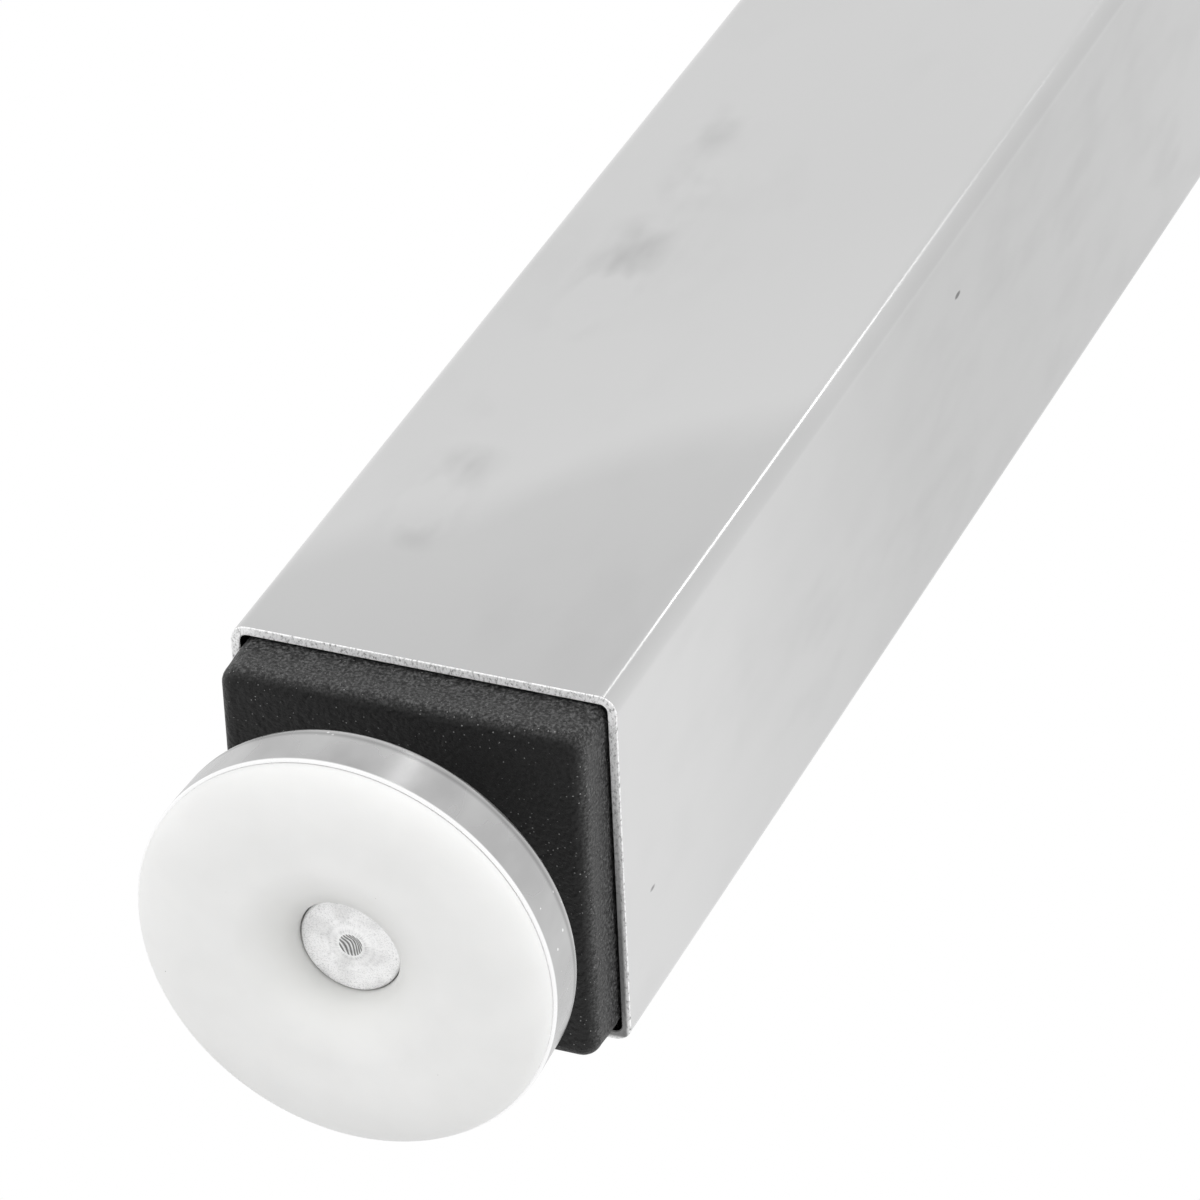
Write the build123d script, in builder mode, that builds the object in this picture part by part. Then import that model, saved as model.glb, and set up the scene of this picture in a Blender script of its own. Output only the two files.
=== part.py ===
from build123d import *
import math
import os

# Folding table leg: a square steel tube that hinges under a screw-on plate, with a levelling glide.
# Origin: centre of the plate's upper face, which goes against the underside of the table top.
# +Z is up, the leg hangs along -Z, and it folds towards +Y about a bolt that lies along X.

# Overall height, from the table top's underside to the floor, with the glide at its middle setting
leg_height = 710.0

# Square tube
tube_width = 50.0
tube_wall = 1.2
tube_corner = 2.2

# Mounting plate
plate_size = 100.0
plate_thick = 3.0
plate_corner = 8.0
plate_hole = 6.0
plate_hole_spacing = 76.0
plate_edge = 0.4

# Yoke: one folded channel, its ears are quadrants round the hinge
yoke_thick = 2.5
yoke_bend = 1.5
yoke_back = 20.0
ear_margin = 6.5
ear_corner = 6.0
weld_leg = 2.4
weld_length = 38.0
cut_margin = 1.0

# Hinge
fold_angle = 90.0
fold_clearance = 1.5
side_gap = 1.5
hinge_diameter = 10.0
hinge_across_flats = 17.0
hinge_head_height = 6.4
hinge_nut_height = 7.0
nut_ring_height = 3.0
nut_ring_sink = 0.5
nut_ring_share = 0.84
nut_collar_wall = 1.0
nut_collar_edge = 0.8
hinge_washer_diameter = 21.0
washer_thick = 2.0
washer_edge = 0.3
bolt_end = 2.0
bolt_chamfer = 1.0

# Bushes and spacers between head and ears
bush_wall = 2.0
bush_length = 16.0
bush_flange_diameter = 23.0
flange_clearance = 0.1
spacer_diameter = 19.0

# Clamp: coach bolt in an arc slot, washer and knob
slot_radius = 25.0
slot_width = 9.0
slot_overrun = 2.5
clamp_diameter = 8.0
clamp_bolt_head_diameter = 19.0
clamp_bolt_head_height = 4.4
clamp_washer_diameter = 24.0
clamp_washer_thick = 1.6
knob_diameter = 36.0
knob_lobes = 5
knob_scallop_radius = 8.0
knob_scallop_share = 0.4
knob_grip_height = 14.0
knob_hub_diameter = 17.0
knob_hub_height = 8.5
knob_edge = 2.5
knob_under_edge = 0.8
insert_diameter = 12.0
insert_length = 13.0
clamp_bolt_reach = 16.0
clamp_bolt_chamfer = 0.8
knob_bore_spare = 1.5

# Head moulding in the top of the tube
head_below_clamp = 13.0
head_back_corner = 3.0
spigot_length = 45.0
spigot_wall = 4.0
spigot_rib = 3.0
spigot_clearance = 0.1
rivet_diameter = 4.8
rivet_head_diameter = 9.0
rivet_head_height = 1.3
rivet_length = 9.0
rivet_spacing = 24.0
rivet_depth = 16.0

# Plug in the foot end of the tube
plug_protrusion = 7.4
plug_gap = 0.3
plug_edge = 2.0
plug_corner = 2.6
plug_seat = 3.0
plug_floor = 4.0
plug_sleeve_depth = 32.0
plug_sleeve_inset = 1.6
plug_wall = 2.4
plug_fin_thick = 1.2
plug_fin_count = 3
plug_fin_pitch = 8.3
plug_fin_clearance = 0.1
boss_diameter = 25.0
boss_height = 19.0
plug_rib = 2.0
plug_rib_height = 12.0

# Levelling glide
stud_diameter = 10.0
stud_thread_length = 47.0
stud_chamfer = 1.0
stud_neck_diameter = 8.0
collar_across_flats = 14.0
collar_height = 5.0
stud_head_diameter = 12.8
stud_head_height = 2.9
stud_head_edge = 0.5
centre_mark_diameter = 3.6
centre_mark_depth = 0.8
centre_mark_tip = 0.4
foot_nut_across_flats = 17.0
foot_nut_height = 8.0
glide_gap = 10.3
cup_back_diameter = 53.4
cup_rim_diameter = 54.0
cup_height = 8.1
cup_wall = 1.0
cup_edge = 1.6
cup_rim_edge = 0.4
pad_seam = 0.1
pad_crown = 2.9
pad_side_inset = 0.4
pad_flat_outer = 18.0
pad_flat_inner = 14.0
pad_floor = 2.3
recess_wall_depth = 0.3

# Hexagons: the angle at which their corners are turned, and the share of the width that the face keeps
hexagon_turn = 30.0
hexagon_face_share = 0.96

# Fits
running_clearance = 0.05
seat_clearance = 0.1
thread_clearance = 0.05
hole_clearance = 0.4

# Heights of the main stations, all measured along Z from the origin
tube_half = tube_width / 2
tube_inner_half = tube_half - tube_wall
tube_inner_corner = tube_corner - tube_wall
yoke_web_under = plate_thick + yoke_thick
hinge_z = -(yoke_web_under + fold_clearance + tube_half)
clamp_z = hinge_z - slot_radius
head_bottom_z = clamp_z - head_below_clamp
foot_height = plug_protrusion + glide_gap + cup_height + pad_seam + pad_crown
tube_end_z = -(leg_height - foot_height)
plug_face_z = tube_end_z - plug_protrusion
cup_back_z = plug_face_z - glide_gap
cup_rim_z = cup_back_z - cup_height
pad_shoulder_z = cup_rim_z - pad_seam
floor_z = pad_shoulder_z - pad_crown

# Stations across the leg, measured along X
ear_inner = tube_half + side_gap
ear_outer = ear_inner + yoke_thick
ear_radius = slot_radius + slot_width / 2 + ear_margin
washer_outer = ear_outer + washer_thick
clamp_washer_outer = ear_outer + clamp_washer_thick
flange_thick = side_gap - flange_clearance

hinge_radius = hinge_diameter / 2
bush_bore = hinge_radius + running_clearance
bush_outer = bush_bore + bush_wall
clamp_radius = clamp_diameter / 2
clamp_hole = clamp_radius + hole_clearance
spacer_hole = clamp_radius * math.sqrt(2) + running_clearance

# Alignment of a round piece that stands on its plane
STANDING = (Align.CENTER, Align.CENTER, Align.MIN)
HANGING = (Align.CENTER, Align.CENTER, Align.MAX)


def side_plane(side, x, z):
    """Plane across a bolt's axis whose normal points out of the right (side 1) or left (side -1)."""
    return Plane(origin=(side * x, 0, z), x_dir=(0, 1, 0), z_dir=(side, 0, 0))


def hexagon(base, across_flats, height):
    """Hexagon standing on a plane, the corners of its far face turned down."""
    spread = height / math.tan(math.radians(hexagon_turn))
    face_radius = hexagon_face_share * across_flats / 2
    with BuildPart(base) as nut_blank:
        with BuildSketch(base):
            RegularPolygon(across_flats / 2, 6, major_radius=False)
        extrude(amount=height)
        Cone(face_radius + spread, face_radius, height, align=STANDING, mode=Mode.INTERSECT)
    return nut_blank.part


os.makedirs("parts", exist_ok=True)
finished = []


def finish(builder, name):
    """Name a finished piece and write it."""
    builder.part.label = name
    export_step(builder.part, "parts/" + name + ".step")
    finished.append(builder.part)


# Mounting plate, flat steel with four screw holes
with BuildPart() as mounting_plate:
    with BuildSketch(Plane.XY.offset(-plate_thick)):
        RectangleRounded(plate_size, plate_size, plate_corner)
        with GridLocations(plate_hole_spacing, plate_hole_spacing, 2, 2):
            Circle(plate_hole / 2, mode=Mode.SUBTRACT)
    extrude(amount=plate_thick)
    chamfer(mounting_plate.faces().sort_by(Axis.Z)[0].outer_wire().edges(), plate_edge)
finish(mounting_plate, "mounting_plate")

# Yoke: a channel cut to the outline of the ears, then slotted on arcs round the hinge
yoke_drop = -hinge_z + ear_radius + ear_corner
back_drop = -hinge_z + math.sqrt(ear_radius**2 - yoke_back**2)
end_angle = math.degrees(slot_overrun / slot_radius)
with BuildPart() as hinge_yoke:
    with BuildSketch(Plane.XZ) as outside:
        with Locations((0, -plate_thick)):
            Rectangle(2 * ear_outer, yoke_drop, align=(Align.CENTER, Align.MAX))
        fillet(outside.vertices().group_by(Axis.Y)[-1], yoke_bend + yoke_thick)
    extrude(amount=ear_radius + yoke_back, both=True)
    with BuildSketch(Plane.XZ) as inside:
        with Locations((0, -yoke_web_under)):
            Rectangle(2 * ear_inner, yoke_drop, align=(Align.CENTER, Align.MAX))
        fillet(inside.vertices().group_by(Axis.Y)[-1], yoke_bend)
    extrude(amount=ear_radius + yoke_back, both=True, mode=Mode.SUBTRACT)
    with BuildSketch(Plane.YZ) as ear_outline:
        with BuildLine():
            back_edge = Line((-yoke_back, -plate_thick), (-yoke_back, -back_drop))
            sweep_edge = RadiusArc(back_edge @ 1, (ear_radius, hinge_z), -ear_radius, short_sagitta=True)
            Polyline(sweep_edge @ 1, (ear_radius, -plate_thick), back_edge @ 0)
        make_face()
        fillet(ear_outline.vertices().sort_by(Axis.Y)[0], ear_corner)
    extrude(amount=ear_outer + cut_margin, both=True, mode=Mode.INTERSECT)
    with BuildSketch(Plane.YZ):
        with Locations((0, hinge_z)):
            Circle(hinge_radius + seat_clearance)
        with BuildLine():
            first = -90 - end_angle
            outer = CenterArc((0, hinge_z), slot_radius + slot_width / 2, first, fold_angle + 2 * end_angle)
            inner = CenterArc((0, hinge_z), slot_radius - slot_width / 2, first, fold_angle + 2 * end_angle)
            TangentArc(outer @ 1, inner @ 1, tangent=outer % 1)
            TangentArc(outer @ 0, inner @ 0, tangent=-(outer % 0))
        make_face()
    extrude(amount=ear_outer + cut_margin, both=True, mode=Mode.SUBTRACT)
finish(hinge_yoke, "hinge_yoke")

# Weld beads along the two open edges of the yoke's web
for name, edge_y, way in (("weld_bead_front", ear_radius, Align.MIN),
                          ("weld_bead_back", -yoke_back, Align.MAX)):
    with BuildPart() as weld_bead:
        with BuildSketch(Plane.YZ.offset(-weld_length / 2)):
            with Locations((edge_y, -plate_thick)):
                Circle(weld_leg)
                Rectangle(weld_leg, weld_leg, align=(way, Align.MAX), mode=Mode.INTERSECT)
        extrude(amount=weld_length)
    finish(weld_bead, name)

# Hinge bolt, its hexagon on the right and its thread end on the left
bolt_grip = 2 * washer_outer + hinge_nut_height + nut_ring_height + bolt_end
bolt_hexagon = hexagon(side_plane(1, washer_outer, hinge_z), hinge_across_flats, hinge_head_height)
with BuildPart() as hinge_bolt:
    add(bolt_hexagon)
    with BuildSketch(side_plane(1, washer_outer, hinge_z)):
        Circle(hinge_radius)
    extrude(amount=-bolt_grip)
    chamfer(hinge_bolt.edges().filter_by(GeomType.CIRCLE).sort_by(Axis.X)[0], bolt_chamfer)
finish(hinge_bolt, "hinge_bolt")

for name, side in (("bolt_washer_right", 1), ("bolt_washer_left", -1)):
    with BuildPart(side_plane(side, ear_outer, hinge_z)) as bolt_washer:
        Cylinder(hinge_washer_diameter / 2, washer_thick, align=STANDING)
        Cylinder(hinge_radius + seat_clearance, washer_thick, align=STANDING, mode=Mode.SUBTRACT)
        chamfer(bolt_washer.edges().filter_by(GeomType.CIRCLE).sort_by(SortBy.RADIUS)[-2:], washer_edge)
    finish(bolt_washer, name)

# Self-locking nut: steel hexagon with a nylon ring in its collar
nut_base = side_plane(-1, washer_outer, hinge_z)
ring_outer = nut_ring_share * hinge_across_flats / 2
nut_hexagon = hexagon(nut_base, hinge_across_flats, hinge_nut_height)
with BuildPart() as lock_nut:
    add(nut_hexagon)
    with BuildSketch(nut_base.offset(hinge_nut_height)):
        Circle(ring_outer + nut_collar_wall)
    extrude(amount=nut_ring_height)
    fillet(lock_nut.edges().filter_by(GeomType.CIRCLE).sort_by(Axis.X)[0], nut_collar_edge)
    with BuildSketch(nut_base):
        Circle(hinge_radius + thread_clearance)
    extrude(amount=hinge_nut_height, mode=Mode.SUBTRACT)
    with BuildSketch(nut_base.offset(hinge_nut_height)):
        Circle(ring_outer)
    extrude(amount=nut_ring_height, mode=Mode.SUBTRACT)
finish(lock_nut, "lock_nut")

with BuildPart(nut_base.offset(hinge_nut_height)) as lock_nut_ring:
    Cylinder(ring_outer, nut_ring_height - nut_ring_sink, align=STANDING)
    Cylinder(hinge_radius + thread_clearance, nut_ring_height, align=STANDING, mode=Mode.SUBTRACT)
finish(lock_nut_ring, "lock_nut_ring")

# Tube, sawn square at both ends, with holes for the rivets
rivet_z = head_bottom_z - rivet_depth
rivet_radius = rivet_diameter / 2
with BuildPart() as leg_tube:
    with BuildSketch(Plane.XY.offset(tube_end_z)):
        RectangleRounded(tube_width, tube_width, tube_corner)
        RectangleRounded(2 * tube_inner_half, 2 * tube_inner_half, tube_inner_corner, mode=Mode.SUBTRACT)
    extrude(amount=head_bottom_z - tube_end_z)
    with BuildSketch(Plane.XZ):
        with Locations((-rivet_spacing / 2, rivet_z), (rivet_spacing / 2, rivet_z)):
            Circle(rivet_radius + running_clearance)
    extrude(amount=tube_width, both=True, mode=Mode.SUBTRACT)
finish(leg_tube, "leg_tube")

# Head: full section above the tube, rounded about the hinge on the side that swings under the plate
spigot_half = tube_inner_half - spigot_clearance
head_top_z = hinge_z + tube_half
with BuildPart() as hinge_head:
    with BuildSketch(Plane.YZ) as head_outline:
        with BuildLine():
            back_side = Line((-tube_half, head_bottom_z), (-tube_half, head_top_z))
            top_side = Line(back_side @ 1, (0, head_top_z))
            swing_side = RadiusArc(top_side @ 1, (tube_half, hinge_z), tube_half)
            Polyline(swing_side @ 1, (tube_half, head_bottom_z), back_side @ 0)
        make_face()
        fillet(head_outline.vertices().group_by(Axis.Y)[-1].sort_by(Axis.X)[0], head_back_corner)
    extrude(amount=tube_half, both=True)
    head_sides = hinge_head.faces().sort_by(Axis.X)
    side_edges = (head_sides[0].edges() + head_sides[-1].edges()).filter_by(
        lambda edge: edge.center().Z > head_bottom_z + seat_clearance)
    fillet(side_edges, tube_corner)
    with BuildSketch(Plane.XY.offset(head_bottom_z)):
        RectangleRounded(2 * spigot_half, 2 * spigot_half, tube_inner_corner)
    extrude(amount=-spigot_length)
    with BuildSketch(Plane.XY.offset(head_bottom_z - spigot_length)):
        Rectangle(2 * (spigot_half - spigot_wall), 2 * (spigot_half - spigot_wall))
        Rectangle(spigot_rib, 2 * spigot_half, mode=Mode.SUBTRACT)
        Rectangle(2 * spigot_half, spigot_rib, mode=Mode.SUBTRACT)
    extrude(amount=spigot_length - spigot_wall, mode=Mode.SUBTRACT)
    with BuildSketch(Plane.YZ):
        with Locations((0, hinge_z)):
            Circle(bush_outer + running_clearance)
        with Locations((0, clamp_z)):
            Circle(clamp_hole)
    extrude(amount=tube_width, both=True, mode=Mode.SUBTRACT)
    with BuildSketch(Plane.XZ):
        with Locations((-rivet_spacing / 2, rivet_z), (rivet_spacing / 2, rivet_z)):
            Circle(rivet_radius + running_clearance)
    extrude(amount=tube_width, both=True, mode=Mode.SUBTRACT)
finish(hinge_head, "hinge_head")

# Flanged bushes in the head, and spacers at the clamp bolt
for name, side in (("hinge_bush_right", 1), ("hinge_bush_left", -1)):
    with BuildPart(side_plane(side, tube_half, hinge_z)) as hinge_bush:
        Cylinder(bush_flange_diameter / 2, flange_thick, align=STANDING)
        Cylinder(bush_outer, bush_length, align=HANGING)
        Cylinder(bush_bore, 2 * bush_length + flange_thick, mode=Mode.SUBTRACT)
    finish(hinge_bush, name)

for name, side in (("clamp_spacer_right", 1), ("clamp_spacer_left", -1)):
    with BuildPart(side_plane(side, tube_half, clamp_z)) as clamp_spacer:
        Cylinder(spacer_diameter / 2, flange_thick, align=STANDING)
        Cylinder(spacer_hole, flange_thick, align=STANDING, mode=Mode.SUBTRACT)
    finish(clamp_spacer, name)

# Rivets through the tube wall into the head, two on each of the front and back faces
rivet_sphere = (rivet_head_height**2 + (rivet_head_diameter / 2) ** 2) / (2 * rivet_head_height)
for number, (side, x) in enumerate(((-1, -1), (-1, 1), (1, -1), (1, 1)), start=1):
    rivet_base = Plane(origin=(x * rivet_spacing / 2, side * tube_half, rivet_z), x_dir=(1, 0, 0),
                       z_dir=(0, side, 0))
    section_plane = Plane(origin=rivet_base.origin, x_dir=(1, 0, 0), z_dir=(0, 0, side))
    with BuildPart() as head_rivet:
        with BuildSketch(section_plane):
            with BuildLine():
                stem = Polyline((0, -rivet_length), (rivet_radius, -rivet_length), (rivet_radius, 0),
                                (rivet_head_diameter / 2, 0))
                dome = RadiusArc(stem @ 1, (0, rivet_head_height), -rivet_sphere)
                Line(dome @ 1, stem @ 0)
            make_face()
        revolve(axis=Axis(rivet_base.origin, rivet_base.z_dir))
    finish(head_rivet, "head_rivet_" + str(number))

# Coach bolt: domed head on the left, square neck in the slot, thread end in the knob
dome_sphere = (clamp_bolt_head_height**2 + (clamp_bolt_head_diameter / 2) ** 2) / (2 * clamp_bolt_head_height)
neck_length = yoke_thick + side_gap / 2
with BuildPart() as clamp_bolt:
    with BuildSketch(Plane.XZ):
        with BuildLine():
            dome = RadiusArc((-ear_outer - clamp_bolt_head_height, clamp_z),
                             (-ear_outer, clamp_z + clamp_bolt_head_diameter / 2), dome_sphere)
            Polyline(dome @ 1, (-ear_outer, clamp_z), dome @ 0)
        make_face()
    revolve(axis=Axis((0, 0, clamp_z), (1, 0, 0)))
    with BuildSketch(Plane.YZ.offset(-ear_outer)):
        with Locations((0, clamp_z)):
            Rectangle(clamp_diameter, clamp_diameter)
    extrude(amount=neck_length)
    with BuildSketch(Plane.YZ.offset(-ear_outer)):
        with Locations((0, clamp_z)):
            Circle(clamp_radius)
    extrude(amount=ear_outer + clamp_washer_outer + clamp_bolt_reach)
    chamfer(clamp_bolt.edges().filter_by(GeomType.CIRCLE).sort_by(Axis.X)[-1], clamp_bolt_chamfer)
finish(clamp_bolt, "clamp_bolt")

# Wide washer under the knob
with BuildPart(side_plane(1, ear_outer, clamp_z)) as clamp_washer:
    Cylinder(clamp_washer_diameter / 2, clamp_washer_thick, align=STANDING)
    Cylinder(clamp_radius + running_clearance, clamp_washer_thick, align=STANDING, mode=Mode.SUBTRACT)
    chamfer(clamp_washer.edges().filter_by(GeomType.CIRCLE).sort_by(SortBy.RADIUS)[-2:], washer_edge)
finish(clamp_washer, "clamp_washer")

# Knob: round hub that clears the bolt's hexagon, then a grip with scallops between its lobes
knob_base = side_plane(1, clamp_washer_outer, clamp_z)
grip_base = knob_base.offset(knob_hub_height)
knob_radius = knob_diameter / 2
with BuildPart() as clamp_knob:
    with BuildSketch(grip_base) as grip_outline:
        Circle(knob_radius)
        with PolarLocations(knob_radius + knob_scallop_share * knob_scallop_radius, knob_lobes):
            Circle(knob_scallop_radius, mode=Mode.SUBTRACT)
        fillet(grip_outline.vertices(), knob_edge)
    extrude(amount=knob_grip_height)
    fillet(clamp_knob.faces().sort_by(Axis.X)[-1].edges(), knob_edge)
    fillet(clamp_knob.faces().sort_by(Axis.X)[0].edges(), knob_under_edge)
    with BuildSketch(knob_base):
        Circle(knob_hub_diameter / 2)
    extrude(amount=knob_hub_height)
    with BuildSketch(knob_base):
        Circle(insert_diameter / 2)
    extrude(amount=insert_length, mode=Mode.SUBTRACT)
    with BuildSketch(knob_base):
        Circle(clamp_hole)
    extrude(amount=clamp_bolt_reach + knob_bore_spare, mode=Mode.SUBTRACT)
finish(clamp_knob, "clamp_knob")

with BuildPart(knob_base) as knob_insert:
    Cylinder(insert_diameter / 2, insert_length, align=STANDING)
    Cylinder(clamp_radius + thread_clearance, insert_length, align=STANDING, mode=Mode.SUBTRACT)
finish(knob_insert, "knob_insert")

# Foot plug: rounded block outside the tube, finned sleeve inside it, boss with a pocket for the nut
plug_half = tube_inner_half - plug_gap
sleeve_half = tube_inner_half - plug_sleeve_inset
sleeve_top = tube_end_z + plug_sleeve_depth
boss_top = tube_end_z + boss_height
fin_half = tube_inner_half - plug_fin_clearance
cavity_half = sleeve_half - plug_wall
cavity_floor = plug_face_z + plug_floor
stud_hole = stud_diameter / 2 + hole_clearance
with BuildPart() as foot_plug:
    with BuildSketch(Plane.XY.offset(plug_face_z)):
        RectangleRounded(2 * plug_half, 2 * plug_half, plug_corner)
    extrude(amount=plug_protrusion + plug_seat)
    fillet(foot_plug.faces().sort_by(Axis.Z)[0].edges(), plug_edge)
    with BuildSketch(Plane.XY.offset(tube_end_z)):
        RectangleRounded(2 * sleeve_half, 2 * sleeve_half, tube_inner_corner)
    extrude(amount=plug_sleeve_depth)
    for fin in range(plug_fin_count):
        fin_z = tube_end_z + plug_seat + (fin + 1) * plug_fin_pitch
        with BuildSketch(Plane.XY.offset(fin_z)):
            RectangleRounded(2 * fin_half, 2 * fin_half, tube_inner_corner)
        extrude(amount=-plug_fin_thick)
    with BuildSketch(Plane.XY.offset(sleeve_top)):
        Rectangle(2 * cavity_half, 2 * cavity_half)
    extrude(amount=cavity_floor - sleeve_top, mode=Mode.SUBTRACT)
    with BuildSketch(Plane.XY.offset(cavity_floor)):
        Rectangle(plug_rib, 2 * cavity_half)
        Rectangle(2 * cavity_half, plug_rib)
    extrude(amount=plug_rib_height)
    with BuildSketch(Plane.XY.offset(cavity_floor)):
        Circle(boss_diameter / 2)
    extrude(amount=boss_top - cavity_floor)
    with BuildSketch(Plane.XY.offset(boss_top)):
        RegularPolygon(foot_nut_across_flats / 2 + seat_clearance, 6, major_radius=False)
    extrude(amount=-foot_nut_height, mode=Mode.SUBTRACT)
    with BuildSketch(Plane.XY.offset(plug_face_z)):
        Circle(stud_hole)
    extrude(amount=plug_protrusion + boss_height, mode=Mode.SUBTRACT)
finish(foot_plug, "foot_plug")

foot_nut_blank = hexagon(Plane.XY.offset(boss_top - foot_nut_height), foot_nut_across_flats, foot_nut_height)
with BuildPart() as foot_nut:
    add(foot_nut_blank)
    with BuildSketch(Plane.XY.offset(boss_top)):
        Circle(stud_diameter / 2 + thread_clearance)
    extrude(amount=-foot_nut_height, mode=Mode.SUBTRACT)
finish(foot_nut, "foot_nut")

# Glide cup: drawn steel, slightly wider at its rim
neck_radius = stud_neck_diameter / 2
neck_hole = neck_radius + running_clearance
cup_back_radius = cup_back_diameter / 2
cup_rim_radius = cup_rim_diameter / 2
with BuildPart() as glide_cup:
    with BuildSketch(Plane.XZ) as cup_section:
        with BuildLine():
            Polyline((neck_hole, cup_back_z), (cup_back_radius, cup_back_z), (cup_rim_radius, cup_rim_z),
                     (cup_rim_radius - cup_wall, cup_rim_z), (cup_back_radius - cup_wall, cup_back_z - cup_wall),
                     (neck_hole, cup_back_z - cup_wall), (neck_hole, cup_back_z))
        make_face()
        outer_corner = cup_section.vertices().group_by(Axis.Y)[-1].sort_by(Axis.X)[-1]
        fillet(outer_corner, cup_edge)
        rim_corner = cup_section.vertices().group_by(Axis.Y)[0].sort_by(Axis.X)[-1]
        fillet(rim_corner, cup_rim_edge)
    revolve(axis=Axis.Z)
finish(glide_cup, "glide_cup")

# Glide pad: nylon disc in the cup, a domed ring outside it, and a recess round the stud's head
pad_top_z = cup_back_z - cup_wall - seat_clearance
pad_inside_top = cup_back_radius - cup_wall - seat_clearance
pad_inside_rim = cup_rim_radius - cup_wall - seat_clearance
pad_outer = cup_rim_radius - pad_side_inset
recess_radius = stud_head_diameter / 2 + seat_clearance
recess_floor_z = pad_top_z - pad_floor
stud_head_z = recess_floor_z - stud_head_height
recess_mouth_z = stud_head_z - recess_wall_depth
with BuildPart() as glide_pad:
    with BuildSketch(Plane.XZ):
        with BuildLine():
            Polyline((neck_hole, pad_top_z), (pad_inside_top, pad_top_z), (pad_inside_rim, pad_shoulder_z),
                     (pad_outer, pad_shoulder_z))
            EllipticalCenterArc((pad_flat_outer, pad_shoulder_z), pad_outer - pad_flat_outer, pad_crown,
                                start_angle=270, arc_size=90)
            Line((pad_flat_outer, floor_z), (pad_flat_inner, floor_z))
            EllipticalCenterArc((pad_flat_inner, recess_mouth_z), pad_flat_inner - recess_radius,
                                recess_mouth_z - floor_z, start_angle=180, arc_size=90)
            Polyline((recess_radius, recess_mouth_z), (recess_radius, recess_floor_z),
                     (neck_hole, recess_floor_z), (neck_hole, pad_top_z))
        make_face()
    revolve(axis=Axis.Z)
finish(glide_pad, "glide_pad")

# Glide stud: riveted head with a centre mark, neck, hexagon collar and thread
collar_z = cup_back_z + seat_clearance
stud_radius = stud_diameter / 2
stud_collar = hexagon(Plane.XY.offset(collar_z), collar_across_flats, collar_height)
with BuildPart() as glide_stud:
    add(stud_collar)
    with BuildSketch(Plane.XY.offset(collar_z + collar_height)):
        Circle(stud_radius)
    extrude(amount=stud_thread_length)
    chamfer(glide_stud.edges().filter_by(GeomType.CIRCLE).sort_by(Axis.Z)[-1], stud_chamfer)
    with BuildSketch(Plane.XY.offset(collar_z)):
        Circle(neck_radius)
    extrude(amount=recess_floor_z - seat_clearance - collar_z)
    with BuildSketch(Plane.XY.offset(recess_floor_z - seat_clearance)):
        Circle(stud_head_diameter / 2)
    extrude(amount=stud_head_z - recess_floor_z + seat_clearance)
    fillet(glide_stud.faces().sort_by(Axis.Z)[0].edges(), stud_head_edge)
    with Locations((0, 0, stud_head_z)):
        Cone(centre_mark_diameter / 2, centre_mark_tip / 2, centre_mark_depth, align=STANDING,
             mode=Mode.SUBTRACT)
finish(glide_stud, "glide_stud")

for piece in finished:
    print(piece.label, round(piece.volume / 1000, 2), "cm3")
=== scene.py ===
import math

import bmesh
import bpy
from mathutils import Matrix, Vector


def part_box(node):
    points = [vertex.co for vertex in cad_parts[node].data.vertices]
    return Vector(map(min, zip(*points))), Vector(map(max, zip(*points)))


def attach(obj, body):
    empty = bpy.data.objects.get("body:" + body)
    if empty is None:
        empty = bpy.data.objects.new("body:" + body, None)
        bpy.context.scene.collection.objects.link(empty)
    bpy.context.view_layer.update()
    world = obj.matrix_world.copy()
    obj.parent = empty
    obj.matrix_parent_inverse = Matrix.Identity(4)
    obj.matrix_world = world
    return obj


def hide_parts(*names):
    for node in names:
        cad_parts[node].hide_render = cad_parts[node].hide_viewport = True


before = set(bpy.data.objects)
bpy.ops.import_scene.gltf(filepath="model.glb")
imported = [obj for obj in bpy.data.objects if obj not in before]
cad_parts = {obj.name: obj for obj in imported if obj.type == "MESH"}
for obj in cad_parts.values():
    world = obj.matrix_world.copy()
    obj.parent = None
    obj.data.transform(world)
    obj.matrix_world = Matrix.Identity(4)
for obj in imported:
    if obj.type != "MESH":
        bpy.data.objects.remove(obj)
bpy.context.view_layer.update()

MM = 0.001
FULL_TURN = 2 * math.pi
RIGHT_ANGLE = math.pi / 2

# The photograph's camera, solved from the tube's edges and the glide's ellipses
FOCAL_MM = 211.97
SENSOR_MM = 36.0
CAMERA_PLACE = (0.30070, -0.48651, -1.31132)
CAMERA_RIGHT = (0.92457351, 0.03889990, 0.37901269)
CAMERA_UP = (-0.17683381, -0.83732793, 0.51731203)
CAMERA_BACK = (0.33748130, -0.54531526, -0.76729241)
NEAREST = 0.05
FURTHEST = 100


def linked(name, data):
    """A new object in the scene."""
    made = bpy.data.objects.new(name, data)
    bpy.context.scene.collection.objects.link(made)
    return made


def make_camera():
    """The photograph's camera."""
    data = bpy.data.cameras.new("camera")
    data.sensor_width = SENSOR_MM
    data.lens = FOCAL_MM
    data.clip_start = NEAREST
    data.clip_end = FURTHEST
    camera = linked("camera", data)
    turn = Matrix((CAMERA_RIGHT, CAMERA_UP, CAMERA_BACK)).transposed().to_4x4()
    camera.matrix_world = Matrix.Translation(CAMERA_PLACE) @ turn
    bpy.context.scene.camera = camera


make_camera()

# The foot end's CAD boxes in millimetres. Materials use them too, to find a piece's rim or middle


def mm_box(node):
    """A CAD node's lowest and highest corners in millimetres."""
    low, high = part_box(node)
    return low / MM, high / MM


tube_low, tube_high = mm_box("leg_tube")
plug_low, plug_high = mm_box("foot_plug")
cup_low, cup_high = mm_box("glide_cup")
pad_low, pad_high = mm_box("glide_pad")
stud_low, stud_high = mm_box("glide_stud")
nut_low, nut_high = mm_box("foot_nut")

TUBE_WALL = 1.2

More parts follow.
